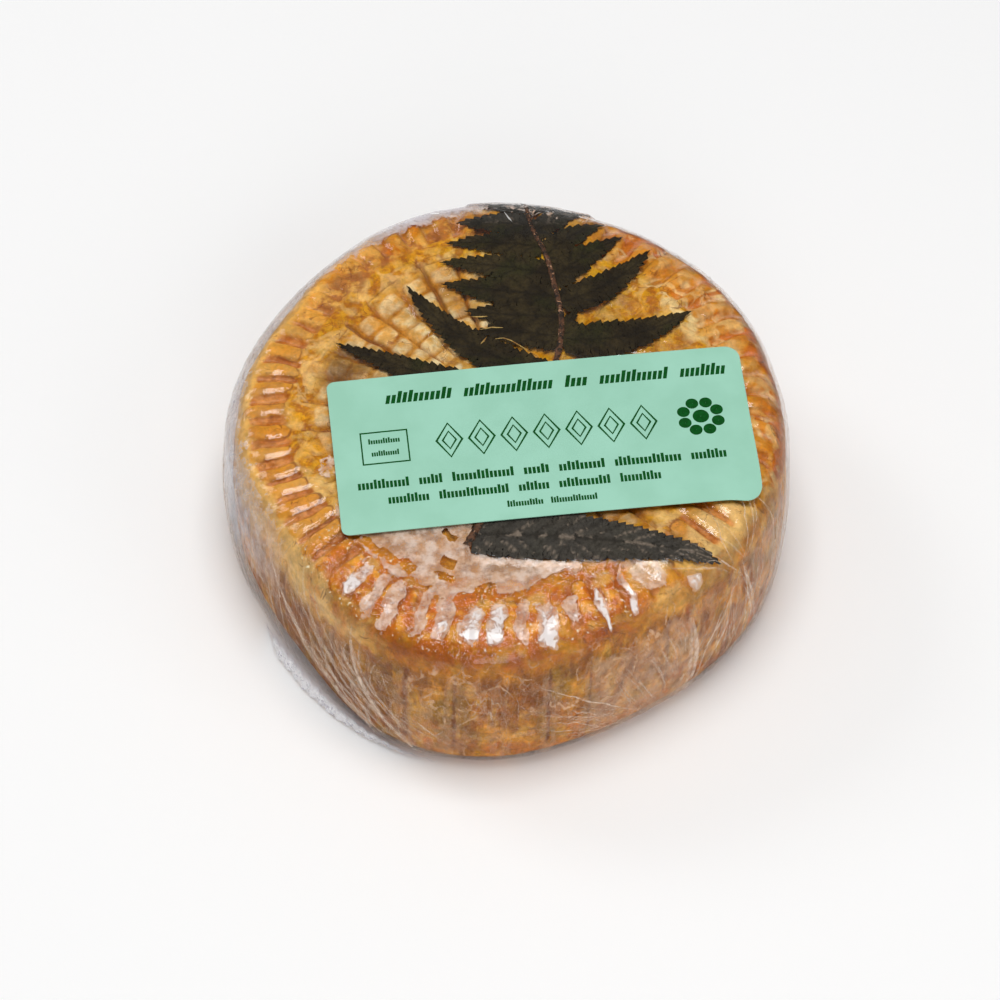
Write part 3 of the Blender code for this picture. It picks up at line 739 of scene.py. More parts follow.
def film_finish():
    """Clear film: sharp reflections where it clings, and a milky bloom where it stands off; painted glints
    on the wet pads, painted white highlights on the bridges, and a painted lavender reflection at the left
    and back edges.
    """
    f = Finish("clear_film")
    ragged = f.plus(f.times(f.swing(3.2, 3, 0.5, 0.5), 0.8), f.times(f.swing(1.2, 5, 0.65, 0.6), 1.1))
    drawn = f.swing(2.2, 5, 0.65, 0.6, (1.0, 1.0, 0.35))
    side = f.mark("side")
    field = f.plus(f.mark("haze"), f.blend(side, ragged, f.times(drawn, 1.5)))
    soft_edged = f.times(f.ramp(field, 0.32, 0.72), side)
    inside = f.most(soft_edged, f.times(f.ramp(field, 0.46, 0.56), f.less(1.0, side)))
    rim = f.times(f.ramp(field, 0.44, 0.49), f.ramp(field, 0.49, 0.55, 1.0, 0.0))
    # painted highlight: white where the film bridges the hollows in front, raising the milk
    shine = f.plus(f.mark("shine"), f.times(f.swing(1.7, 4, 0.6, 0.6), 2.2))
    shine = f.times(f.ramp(shine, 0.44, 0.84), inside)
    curl = f.ramp(f.veins(5.5, 3, 0.45, 1.0, (1, 1, 0.8)), 0.006, 0.028, 0.6, 0.0)
    curl = f.times(curl, f.ramp((7, 2), 0.42, 0.56))
    streak = f.ramp((0.9, 4, 0.65, 0.5, (1.0, 1.0, 0.14)), 0.56, 0.74, 0.0, 0.16)
    veil = f.times(f.times(inside, f.mark("veil")), f.ramp((2.6, 4, 0.6), 0.36, 0.62, 0.5, 1.2))
    for more in (
        f.times(rim, f.most(f.times(f.mark("veil"), 0.9), f.times(side, 0.34))),
        f.times(shine, 0.8),
        f.times(curl, f.mark("curled")),
        f.times(streak, side),
    ):
        veil = f.most(veil, more)
    tint = f.coats(
        f.blend(f.ramp((2.2, 4, 0.6), 0.4, 0.62), (232, 194, 164), (250, 226, 208)),
        (side, (232, 188, 148)),
        # painted reflection: a lavender tint where the film is seen at a grazing angle at the left and back
        # edges
        (f.mark("cold"), (202, 202, 214)),
        # painted highlight: the milk's tint whitened there
        (shine, (250, 246, 244)),
    )
    wet = f.times(f.mark("wet"), f.less(1.0, inside))
    # painted glints: small bright spots on the wet pads in front
    painted_glint = f.times(f.ramp((0.62, 2, 0.5), 0.655, 0.69), f.ramp(wet, 0.3, 0.8))
    ripple = f.bump(f.noise(4, 3, 0.5), 0.5, 0.7)
    normal = f.bump(f.noise(1.2, 3, 0.6), 0.35, f.plus(f.times(wet, 0.9), 0.2), ripple)
    share = f.times(f.ramp(side, 0.0, 1.0, 1.05, 0.45), f.ramp(f.mark("cover"), 0.0, 1.0, 1.0, 0.3))
    sheet = f.clear_film((0.99, 0.985, 0.98), 0.07, normal, share)
    milk = f.principled(Base_Color=tint, Roughness=0.16, Normal=normal)
    # the pale yellow-white of the painted glints
    painted_glint_shader = f.principled(Base_Color=(255, 240, 200), Roughness=0.2)
    return f.done(f.shaders(f.times(painted_glint, 0.85), f.shaders(veil, sheet, milk), painted_glint_shader))


def crease_finish():
    """Folded film: several layers, so it is whiter and hides more; the milky white also stands in for the
    folds' highlights, painted.
    """
    f = Finish("film_crease")
    veil = f.times(f.mark("strength"), f.ramp((1.5, 3), 0.3, 0.7, 0.25, 1.0))
    # the folds' whiter layers, and their painted highlights
    milk = f.principled(Base_Color=(242, 218, 196), Roughness=0.15)
    return f.done(f.shaders(veil, f.see_through((1, 1, 1)), milk))


def skirt_finish():
    """Loose film: clear above; towards its lower edge a grey see-through tint, painted shade, and a silvery
    shimmer of painted glints.
    """
    f = Finish("loose_film")
    down = f.mark("down")
    # painted glints: white specks where the silvery milk shows
    painted_glint_spots = f.ramp((0.9, 4, 0.66, 0.0, (1, 1, 0.7)), 0.52, 0.64, 0.22, 0.8)
    normal = f.bump(f.noise(1.2, 3, 0.6), 0.6, 0.9)
    # painted shade: a grey see-through tint towards the lower edge
    grey = f.blend(f.ramp((1.6, 4, 0.6), 0.38, 0.62), (0.34, 0.33, 0.44), (0.66, 0.65, 0.76))
    # painted shimmer: streaks of pale grey to white
    painted_shimmer = f.blend(f.ramp((0.7, 3, 0.6), 0.42, 0.6), (150, 146, 160), (226, 224, 234))
    milk = f.principled(Base_Color=painted_shimmer, Roughness=0.1, Normal=normal)
    sheet = f.clear_film(f.blend(down, (1.0, 1.0, 1.0), grey), 0.06, normal, 0.9, down)
    return f.done(f.shaders(f.times(painted_glint_spots, f.maths("POWER", down, 2.0)), sheet, milk))


def fern_finish():
    f = Finish("pressed_fern")
    pale = f.times(f.mark("greyed"), f.ramp((3, 3), 0.48, 0.56))
    colour = f.coats(
        f.blend(f.ramp((5, 4, 0.6), 0.35, 0.66), (36, 28, 14), (60, 50, 28)),
        (f.ramp((8, 3), 0.5, 0.7, 0, 0.7), (46, 46, 20)),
        (f.times(f.mark("greyed"), 0.75), (70, 67, 62)),
        (f.times(f.mark("seam"), 0.6), f.blend(pale, (22, 16, 8), (150, 134, 118))),
    )
    colour = f.vary(colour, Value=f.ramp((0.6, 4, 0.7), 0.3, 0.72, 0.7, 1.3))
    rough = f.ramp((2,), 0.3, 0.7, 0.55, 0.75)
    normal = f.bump(f.noise(0.8, 3), 0.18, 0.8)
    return f.done(f.principled(Base_Color=colour, Roughness=rough, Normal=normal, Specular_IOR_Level=0.12))


def stem_finish():
    """Copper brown with bright flecks, partly painted highlights; the strands beside it dry, or white as
    painted glints.
    """
    f = Finish("fern_stem")
    strand = f.mark("strand")
    colour = f.coats(
        f.blend(f.ramp((1.1, 3, 0.7), 0.42, 0.58), (34, 24, 14), (96, 62, 40)),
        # the stem's own copper flecks, brightened in part as painted highlights
        (f.ramp((0.9, 3, 0.7, 1.0), 0.6, 0.65), (206, 156, 120)),
        (f.ramp(strand, 0.2, 0.4), f.blend(f.ramp((2, 2), 0.4, 0.6), (150, 106, 48), (198, 166, 96))),
        # white: painted glints of the film over the frond
        (f.ramp(strand, 0.7, 0.9), (250, 250, 248)),
    )
    normal = f.bump(f.noise(0.6, 3), 0.25, 1.0)
    return f.done(f.principled(Base_Color=colour, Roughness=0.5, Normal=normal, Specular_IOR_Level=0.25))


def paper_finish():
    f = Finish("mint_paper")
    cloudy = f.ramp((9, 3, 0.5), 0.3, 0.7)
    colour = f.blend(cloudy, (150, 204, 180), (157, 211, 188))
    rough = f.ramp((4,), 0.3, 0.7, 0.42, 0.55)
    normal = f.bump(f.noise(14, 2, 0.5), 0.35, 0.35)
    normal = f.bump(f.noise(0.35, 2), 0.02, 0.5, normal)
    return f.done(f.principled(Base_Color=colour, Roughness=rough, Normal=normal))


def ink_finish():
    f = Finish("green_ink")
    colour = f.blend(f.ramp((0.8, 3), 0.35, 0.7), (0, 70, 16), (4, 84, 26))
    rough = f.ramp((3,), 0.3, 0.7, 0.4, 0.5)
    normal = f.bump(f.noise(0.4, 2), 0.02, 0.5)
    return f.done(f.principled(Base_Color=colour, Roughness=rough, Normal=normal, Specular_IOR_Level=0.1))


def floor_finish():
    f = Finish("studio_floor")
    colour = f.blend(f.ramp((300, 2), 0.3, 0.7), (0.985, 0.985, 0.985), (0.99, 0.99, 0.99))
    return f.done(f.principled(Base_Color=colour, Roughness=0.7, Normal=f.bump(f.noise(50), 0.2, 0.2)))


# Cheese and film


def blob(angle, tape, centre, inset_mm, around_mm, along_mm):
    """A soft oval round one place: its angle in degrees, its inset from the outline, and its half sizes."""
    away = ((np.degrees(angle) - centre + 180) % 360 - 180) * math.radians(1) * WHEEL_RADIUS
    along = outline(angle) - tape - inset_mm * MM
    distance = np.hypot(away / (around_mm * MM), along / (along_mm * MM))
    return 1 - soft(distance, 0.45, 1.25)


def ovals(angle, tape, table):
    """The soft ovals of a table, each times its strength."""
    return [strength * blob(angle, tape, *oval) for *oval, strength in table]


def build_cheese():
    """The cheese, with the mould's marks as relief, and marks that its finish reads."""
    angle, tape = rows_and_columns(COLUMNS, SEGMENT_ROWS)
    skin = place(angle, tape)
    flat, shoulder, wall, _, _ = lengths(angle)
    inset = outline(angle) - tape
    pad, number, hollow, crown, inward = rim_pads(angle, tape)
    line, kernel, shown = top_marks(angle, tape)
    stave, level = staves(angle, tape)
    radius = tape * (WHEEL_RADIUS - TOP_SHOULDER) / flat
    disc = (1 - soft(radius, 36 * MM, 40 * MM)) * (tape < flat)
    patterned = soft(radius, 12 * MM, 18 * MM) * disc
    raised = (1 - soft(kernel, 0.7, 1.15)) * (0.5 + 0.5 * shown)
    regions = (FRONT, LEFT, PALE_LEFT, BACK, RIGHT, PALE_RIGHT)
    front, left, pale_left, back, right, pale_right = (sector(angle, *region) for region in regions)
    depth = RIB_DEPTH * hollow * (1 - 0.35 * front) + PAD_CROWN * crown
    depth = depth + SPOKE_DEPTH * (1 - soft(line, 0.1, 0.8)) + KERNEL_DEPTH * patterned * (1 - raised)
    depth = depth + STAVE_DEPTH * (1 - soft(stave, 0.2, 1.2)) + LEVEL_DEPTH * (1 - soft(level, 0.1, 0.6))
    depth = depth + BAR_DEPTH * base_marks(angle, tape)
    lumps = 0.7 * MM * (cloud(skin, 11 * MM, 2) - 0.5) + 0.5 * MM * (cloud(skin, 3.2 * MM, 5) - 0.5)
    lumps = np.where(tape > flat + shoulder + wall, lumps * 0.4, lumps)
    height = -stand_off(angle, tape) - depth - 0.2 * MM + np.minimum(lumps, 0.2 * MM)
    wall_share = soft((tape - flat) / shoulder, 0.5 + 0.35 * pale_left, 1.1 + 0.5 * pale_left)
    rim = soft(inset, -2 * MM, 3 * MM) * (1 - soft(inset, 13 * MM, 16 * MM))
    kernels_shown = sector(angle, 137, 20, 8) * (0.55 + 0.6 * noise(skin, 5 * MM, 9))
    shown = np.clip(np.maximum(shown, kernels_shown) * (1 - 0.8 * right - front), 0, 1)
    cream = 0.3 + 0.3 * left * rim - 0.6 * front + 0.5 * blob(angle, tape, 25, 9, 12, 4)
    cream = cream + 0.7 * pale_left * (1 - soft(inset, 3 * MM, 6 * MM)) - 0.6 * sector(angle, 45, 25, 10)
    orange = 0.25 + 0.65 * front * soft(-inset, -16 * MM, -10 * MM)
    orange = orange + 0.5 * right * soft(-inset, -9 * MM, -3 * MM) - 0.4 * left - pale_right
    gold = soft(inset, 10 * MM, 13 * MM) * (1 - soft(inset, 17 * MM, 20 * MM)) * (1 - front)
    gold = np.maximum(gold, 0.75 * right * soft(inset, 12 * MM, 18 * MM))
    dull = np.maximum(blob(angle, tape, 161, 19.5, 11, 6.5), 0.6 * blob(angle, tape, -84, 24, 12, 6))
    chalk = np.maximum.reduce(ovals(angle, tape, PALE_LUMPS))
    pale_band = np.maximum(pale_left, sector(angle, 122, 24, 14)) * (1 - soft(inset, 2.5 * MM, 5 * MM))
    uneven = RIB_RANDOM[2, (np.degrees(angle) / 8).astype(int) % RIB_COUNT] * (stave < 2.5)
    marks = {
        "pad": pad,
        "hollow": hollow * (1 - 0.7 * back - 0.55 * right),
        "hue": RIB_RANDOM[6, number],
        "edge": np.clip(0.85 - 0.8 * back - 0.6 * right - 0.4 * front, 0, 1) * inward,
        "padded": np.clip(1 - 0.85 * back - 0.4 * right, 0, 1),
        "front": np.maximum(front, 0.2 * right),
        "spoke": line + 0.35 * (1 - sector(angle, 130, 35, 10)),
        "kernel": kernel,
        "shown": shown * (kernel < 1.45),
        "disc": patterned * (1 - 0.75 * right),
        "dull": disc * dull,
        "gold": gold,
        "chalk": np.maximum(blob(angle, tape, -33, 6, 10, 7) * (1 - hollow), chalk),
        "wall": wall_share,
        "veined": (1.3 * right * rim + 0.7 * gold) * (1 - patterned),
        "stained": back * soft(inset, 5 * MM, 8 * MM) * (1 - soft(inset, 11 * MM, 13 * MM)),
        "shoulder": front * (1 - soft(inset, 2 * MM, 5 * MM)) * (1 - wall_share),
        "stave": stave + 0.9 * uneven,
        "level": level + 0.4 * noise(skin, 9 * MM, 13),
        "orange": orange,
        "cream": cream,
        "pale_band": pale_band * (1 - wall_share),
        # painted shade: darkens the lower left of the wall
        "brown": blob(angle, tape, -134, -19, 30, 17),
        "foot": soft((tape - flat - shoulder) / wall, 0.5, 1.0),
    }
    return closed_grid("cheese", place(angle, tape, height), -0.9 * MM, 0.9 * MM, marks, rind_finish())


def film_height(angle, tape):
    """The film's height above the skin: just over the pads, higher over the frond, and sunk into the
    hollows. With it, how much of the frond is under it there."""
    cover = fern_cover(angle, tape, FROND_TENT)
    _, _, hollow, _, _ = rim_pads(angle, tape)
    stave, _ = staves(angle, tape)
    front = sector(angle, *FRONT)
    sag = RIB_DEPTH * hollow * (0.55 - 0.3 * front) + 0.06 * MM * (1 - soft(stave, 0.2, 1.4))
    return FILM_OVER_PADS + FILM_OVER_FROND * cover - sag * (1 - cover), cover


def front_haze(angle, tape):
    """(haze, painted highlight) of the film over the front of the top."""
    inset = (outline(angle) - tape) / MM
    degrees = (np.degrees(angle) + 180) % 360 - 180
    start = 13.6 - 1.6 * sector(angle, -116, 13, 6)
    ring = sector(angle, -101, 31, 5) * soft(inset, start, start + 2.6)
    # a faint painted highlight over the ring's haze on the front left
    haze, shine = 0.95 * ring, 0.25 * ring * sector(angle, -113, 12, 12)
    skin = place(angle, tape)
    around = 2.2 * (noise(skin, 2.6 * MM, 50) - 0.5)
    inset = inset + 2.4 * (noise(skin, 2.6 * MM, 55) - 0.5)
    for centre, inner, outer, half_width, white in BRIDGES:
        across = ((degrees - centre) * math.radians(1) * tape / MM + around) / half_width
        along = (inset - (inner + outer) / 2) / ((inner - outer) / 2)
        inside = 1 - soft((np.abs(across) ** 3 + np.abs(along) ** 4) ** 0.3, 0.5, 1.6)
        haze = np.maximum(haze, inside)
        shine = np.maximum(shine, inside * white * (0.8 + 0.3 * soft(-along, -0.2, 0.8)))
    touched = np.zeros_like(haze)
    for centre, middle, half_width, half_length in CONTACTS:
        across = (degrees - centre) * math.radians(1) * tape / MM / half_width
        along = (inset - middle) / half_length
        touched = np.maximum(touched, 1 - soft((across**4 + along**4) ** 0.25, 0.7, 1.5))
    return haze * (1 - touched), shine * (1 - touched)


def build_film():
    """The tight film, with marks for where it is milky, shiny or wet."""
    angle, tape = rows_and_columns(FILM_COLUMNS, FILM_ROWS)
    flat, shoulder, wall, _, _ = lengths(angle)
    inset = outline(angle) - tape
    height, over_frond = film_height(angle, tape)
    skin = place(angle, tape)
    early = 0.6 * sector(angle, 172, 45, 20)  # on the left the side's look starts higher up
    side = soft((tape - flat) / shoulder, 0.5 - early, 1.0)
    share = (tape - flat) / (shoulder + wall)
    slack = 0.5 * MM * (cloud(skin, 9 * MM, 20) - 0.5) + 0.25 * MM * (cloud(skin, 2.8 * MM, 22) - 0.5)
    pleat = np.cos(46 * angle + 5 * noise(skin, 20 * MM, 24)) + 0.6 * np.cos(83 * angle)
    on_base = soft(tape - flat - shoulder - wall, 0, 6 * MM)
    height = height + np.minimum(slack, 0.05 * MM) * (1 - on_base) * (1 - over_frond)
    height = height - 0.2 * MM * on_base * (1 + 0.6 * pleat)
    points = place(angle, tape, height)
    points[..., 2] = np.maximum(points[..., 2], FILM_ABOVE_FLOOR)
    cover = fern_cover(angle, tape)
    back_reach = np.sin(angle) * tape
    top_haze, shine = front_haze(angle, tape)
    top_haze = np.maximum.reduce([top_haze, *ovals(angle, tape, TOP_PATCHES)])
    top_haze = top_haze * (1 - cover * (1 - 0.7 * soft(back_reach, 44 * MM, 50 * MM)))
    panel = soft(np.degrees(angle), -70 + 14 * share, -67 + 14 * share) * sector(angle, -60, 11.5, 1.5)
    panel = panel * soft(share, 0.3, 0.42)
    front, left_bloom_reflecting = sector(angle, *FILM_FRONT), sector(angle, *LEFT_BLOOM_REFLECTING)
    wall_haze = 0.34 + 0.35 * stave_haze(angle, tape) + 0.35 * panel
    wall_haze = sum(ovals(angle, tape, WALL_PATCHES), wall_haze)
    wall_haze = wall_haze - 0.35 * front * (1 - soft(share, 0.2, 0.45))
    # on the left, where the film stands off, it is milky in part and in part a painted grazing reflection
    wall_haze = wall_haze + 0.5 * left_bloom_reflecting * (1 - soft(share, 0.5, 0.8))
    stood_off_reflecting = left_bloom_reflecting * soft(share, -0.05, 0.25) * (1 - soft(share, 0.5, 0.8))
    veil = (0.58 + 0.25 * blob(angle, tape, 116, 1, 30, 5)) * (1 - side)
    # where the painted lavender reflection goes
    cold = sector(angle, 150, 46, 26) * soft(share, -0.1, 0.3)
    under_film = cover * (1 - soft(back_reach, 40 * MM, 47 * MM))
    marks = {
        "haze": top_haze * (1 - side) + wall_haze * side,
        "veil": veil + 0.19 * side + 0.21 * stood_off_reflecting + 0.14 * panel,
        "shine": shine * (1 - side),
        "side": side,
        "curled": side * sector(angle, -78, 26, 10) * (1 - soft(share, 0.65, 0.85)),
        "cold": np.maximum(cold, 0.8 * blob(angle, tape, 116, 0, 38, 7)),
        "wet": front * soft(inset, 0, 3 * MM) * (1 - soft(inset, 17 * MM, 20 * MM)) * (1 - cover),
        # also dims the film's reflections on the lower left of the wall, as part of the painted shade there
        "cover": np.maximum(under_film, 0.9 * blob(angle, tape, -136, -19, 34, 17)),
    }
    return closed_grid("film", points, 0.6 * MM, 0.3 * MM, marks, film_finish())


def stave_haze(angle, tape):
    """1 along both sides of each wall line, where the film bridges it."""
    stave, level = staves(angle, tape)
    beside = soft(stave, 0.4, 0.8) * (1 - soft(stave, 1.0, 1.7))
    return np.clip(beside + 0.8 * (1 - soft(level, 0.3, 0.8)), 0, 1)


# Fern pieces


def join_grids(name, grids, finish, marks=()):
    """One piece from open grids of points, with marks given per grid point."""
    faces, values, start = [], {mark: [] for mark in marks}, 0
    for grid in grids:
        rows, columns = grid["points"].shape[:2]
        index = np.arange(rows * columns).reshape(rows, columns) + start
        quads = np.stack([index[:-1, :-1], index[:-1, 1:], index[1:, 1:], index[1:, :-1]], -1)
        faces += quads.reshape(-1, 4).tolist()
        start += rows * columns
        for mark in marks:
            values[mark].extend(np.broadcast_to(grid[mark], (rows, columns)).ravel())
    vertices = np.concatenate([grid["points"].reshape(-1, 3) for grid in grids])
    return add_piece(name, vertices, faces, values, finish)


def leaf_grid(leaflet, order):
    """A leaflet with lobed, toothed edges, a sunk midrib and seams between its lobes."""
    start, tip, bow, width = leaflet
    length, along, side, lean = leaf_frame(start, tip, bow)
    rows = max(12, int(length / LEAF_ROW))
    share = np.linspace(0, 1, rows)[:, None]
    across = np.linspace(-1, 1, LEAF_COLUMNS)[None, :]
    forward = share * length
    slant = 1.1 * np.abs(across) * width / 2
    lobe = ((forward - slant) / LOBE_PITCH + 0.31 * order) % 1
    lobe_edge = (forward / LOBE_PITCH + 0.31 * order + 0.21 * (across > 0)) % 1
    tooth = (forward / TOOTH_PITCH + 0.17 * order + 0.4 * (across > 0)) % 1
    count = (forward / TOOTH_PITCH + 0.17 * order + 0.4 * (across > 0)).astype(int)
    deep = 0.45 + 1.0 * RIB_RANDOM[(order + (across > 0)) % 8, count % RIB_COUNT]
    bite = 0.9 * MM * (1 - lobe_edge) ** 2 * (1 - 0.5 * share) + 1.25 * MM * deep * (1 - tooth) ** 1.2
    bite = bite * soft(share, 0.0, 0.1) * min(1, width / (7.5 * MM)) * (1 - 0.45 * share)
    half = np.maximum(width / 2 * leaf_body(share) * 1.06 - bite, 0.1 * MM)
    lag = -1.15 * bite * np.abs(across) ** 6
    out = across * half + lean * 4 * share * (1 - share)
    reach = np.clip(forward + lag, 0, length)
    x = start[0] + along[0] * reach + side[0] * out
    y = start[1] + along[1] * reach + side[1] * out
    angle, tape = polar(x, y)
    crown = 0.09 * MM * (1 - across**2) - 0.09 * MM * np.exp(-((across / 0.1) ** 2))
    ripple = 0.05 * MM * np.sin(2 * math.pi * lobe)
    lift = LEAF_LAYER + 0.012 * MM * (order % 9) + crown + ripple
    seam = np.exp(-(((lobe - 0.02) / 0.09) ** 2)) + np.exp(-(((lobe - 1.0) / 0.09) ** 2))
    seam = np.clip(seam + np.exp(-((across / 0.09) ** 2)), 0, 1)
    greyed = soft(-y, 20 * MM, 26 * MM) + soft(y, 47 * MM, 50 * MM)
    return {"points": place(angle, tape, lift), "seam": seam, "greyed": greyed}


# Dry strands, and painted glints of the film drawn as white strands, on the frond: places (degrees,
# millimetres of tape), width, 0.5 dry or 1 white
STRANDS_AND_GLINTS = (
    (((99.5, 17.8), (94.0, 17.9), (89.0, 17.2), (79.0, 15.5), (66.5, 14.2)), 0.26, 0.5),
    (((109.5, 17.2), (106.5, 17.9), (104.0, 18.7)), 0.34, 0.5),
    (((106.5, 20.8), (100.0, 20.9), (94.0, 20.5)), 0.28, 0.5),
    (((109.0, 24.6), (104.0, 24.0), (101.0, 23.8)), 0.34, 0.5),
    (((92.0, 51.0), (91.0, 49.4), (90.2, 48.4)), 0.28, 1.0),
    (((108.0, 54.2), (107.2, 53.6), (106.2, 53.3)), 0.28, 1.0),
)
STRAND_STEPS = 20


def build_fern():
    """All leaflets, flat on the cheese under the film."""
    grids = [leaf_grid(leaflet, order) for order, leaflet in enumerate(all_leaflets())]
    return join_grids("fern_leaflets", grids, fern_finish(), ("seam", "greyed"))


def strand_grid(places, width, kind):
    """A thin dry strand on the frond, or a white one as a painted glint, through places given as degrees and
    millimetres of tape.
    """
    degrees, tapes = np.array(places, float).T
    at = np.linspace(0, len(places) - 1, STRAND_STEPS)
    x = np.interp(at, range(len(places)), tapes * np.cos(np.radians(degrees))) * MM
    y = np.interp(at, range(len(places)), tapes * np.sin(np.radians(degrees))) * MM
    normal = np.stack([-np.gradient(y), np.gradient(x)]) / np.hypot(np.gradient(x), np.gradient(y))
    half = width * MM / 2 * np.sin(math.pi * np.linspace(0.05, 0.95, STRAND_STEPS))
    rails = []
    for offset, lift in ((-1, 0.3), (0, 0.44), (1, 0.3)):
        angle, tape = polar(x + offset * half * normal[0], y + offset * half * normal[1])
        rails.append(place(angle, tape, lift * MM))
    return {"points": np.stack(rails, axis=1), "strand": kind}


def build_stem():
    """A half-round stem, laid over the leaflets, with some dry strands and white painted glints beside it.
    """
    turns = np.linspace(0, math.pi, STEM_COLUMNS)
    points = []
    for row in range(STEM_ROWS):
        share = row / (STEM_ROWS - 1)
        here = route_point(share)
        ahead = route_point(min(share + 0.004, 1)) - route_point(max(share - 0.004, 0))
        across = np.array([-ahead[1], ahead[0]]) / np.hypot(*ahead)
        half = (STEM_HALF_WIDTHS[0] + (STEM_HALF_WIDTHS[1] - STEM_HALF_WIDTHS[0]) * share) * MM
        knot = 1 + 0.16 * math.sin(row * 0.9) * math.sin(row * 0.23)
        offsets = np.cos(turns) * half * knot
        angle, tape = polar(here[0] + across[0] * offsets, here[1] + across[1] * offsets)
        points.append(place(angle, tape, STEM_LAYER + np.sin(turns) * STEM_HEIGHT))
    grids = [{"points": np.array(points), "strand": 0.0}]
    grids += [strand_grid(places, width, kind) for places, width, kind in STRANDS_AND_GLINTS]
    return join_grids("fern_stem", grids, stem_finish(), ("strand",))


# Sticker

LABEL_SIZE = (81.0 * MM, 37.4 * MM)
LABEL_CENTRE = (6.9 * MM, -7.4 * MM)
LABEL_TURN = math.radians(7.3)
LABEL_CORNERS = (1.6 * MM, 1.6 * MM, 3.0 * MM, 4.2 * MM)  # from the lower left, clockwise
LABEL_LIFT = 0.68 * MM
LABEL_THICKNESS = 0.16 * MM
PRINT_LIFT = 0.012 * MM
LABEL_ROWS, LABEL_COLUMNS = 61, 121
PRINT_CELL = 1.5  # millimetres
STROKE_HEIGHTS = (1.0, 0.72, 0.72, 0.86, 0.72, 0.72, 1.0, 0.72)  # shares of a line's height
STROKE_SHARE = 0.72  # of the pitch


def on_label(x, y, lift):
    """A point of the sticker's own plane, from its centre, laid on the cheese."""
    across, back = turned(x, y, LABEL_TURN)
    return place(*polar(across + LABEL_CENTRE[0], back + LABEL_CENTRE[1]), LABEL_LIFT + lift)


def label_inset(y, corner_low, corner_high):
    """How far a side's end is drawn in at height y by its rounded corners."""
    half = LABEL_SIZE[1] / 2
    inset = np.zeros_like(y)
    for corner, distance in ((corner_low, y + half), (corner_high, half - y)):
        near = np.clip(1 - distance / corner, 0, 1)
        inset = np.maximum(inset, corner * (1 - np.sqrt(1 - near**2)))
    return inset


def build_label():
    """The sticker: a thin sheet with rounded corners, bent with the cheese."""
    half = LABEL_SIZE[1] / 2
    ends = np.sin(np.linspace(-math.pi / 2, math.pi / 2, LABEL_ROWS))
    y = (ends * half)[:, None]
    low_left, high_left, high_right, low_right = LABEL_CORNERS
    left = -LABEL_SIZE[0] / 2 + label_inset(y, low_left, high_left)
    right = LABEL_SIZE[0] / 2 - label_inset(y, low_right, high_right)
    x = left + (right - left) * np.linspace(0, 1, LABEL_COLUMNS)[None, :]
    y = np.broadcast_to(y, x.shape)
    top = on_label(x, y, LABEL_THICKNESS)
    low = on_label(x, y, 0.0)
    rim = [np.stack([top[0], low[0]]), np.stack([low[-1], top[-1]])]
    rim += [np.stack([low[:, 0], top[:, 0]]), np.stack([top[:, -1], low[:, -1]])]
    grids = [{"points": top}, {"points": low[::-1]}, *({"points": edge} for edge in rim)]
    return join_grids("label_paper", grids, paper_finish())


def printed(x, y):
    """A grid of print from places on the sticker in millimetres."""
    return {"points": on_label(x * MM, y * MM, LABEL_THICKNESS + PRINT_LIFT)}


def bar(x0, x1, y0, y1, slant=0.0):
    """A solid print stroke as a grid fine enough to bend with the sticker."""
    columns = int(abs(x1 - x0) / PRINT_CELL) + 2
    rows = int(abs(y1 - y0) / PRINT_CELL) + 2
    y = np.linspace(y0, y1, rows)[:, None]
    x = np.linspace(x0, x1, columns)[None, :] + slant * (y - y0)
    return printed(*np.broadcast_arrays(x, y))


def band(route, width):
    """A printed line of that width along a closed flat route of points in millimetres."""
    points = np.array([*route, route[0]], float)
    step = np.gradient(points, axis=0)
    step[0] = step[-1] = points[1] - points[-2]
    normal = np.stack([-step[:, 1], step[:, 0]], 1) / np.hypot(step[:, 0], step[:, 1])[:, None]
    grid = np.stack([points - normal * width / 2, points + normal * width / 2], axis=1)
    return printed(grid[..., 0], grid[..., 1])


def dot(x, y, radius):
    """A printed round spot."""
    turns = np.linspace(0, 2 * math.pi, 33)
    rings = radius * np.linspace(0.02, 1, 4)[:, None]
    return printed(x + rings * np.cos(turns), y + rings * np.sin(turns))


def words(x, y, height, lengths_mm, gap, slant=0.0):
    """A line of word-length rows of small upright strokes, plain and unreadable."""
    strokes = []
    for length in lengths_mm:
        count = max(2, round(length / (height * 0.36)))
        pitch = length / count
        for index in range(count):
            tall = STROKE_HEIGHTS[(index * 3 + round(x)) % len(STROKE_HEIGHTS)]
            left = x + index * pitch
            strokes.append(bar(left, left + pitch * STROKE_SHARE, y, y + height * tall, slant))
        x += length + gap
    return strokes


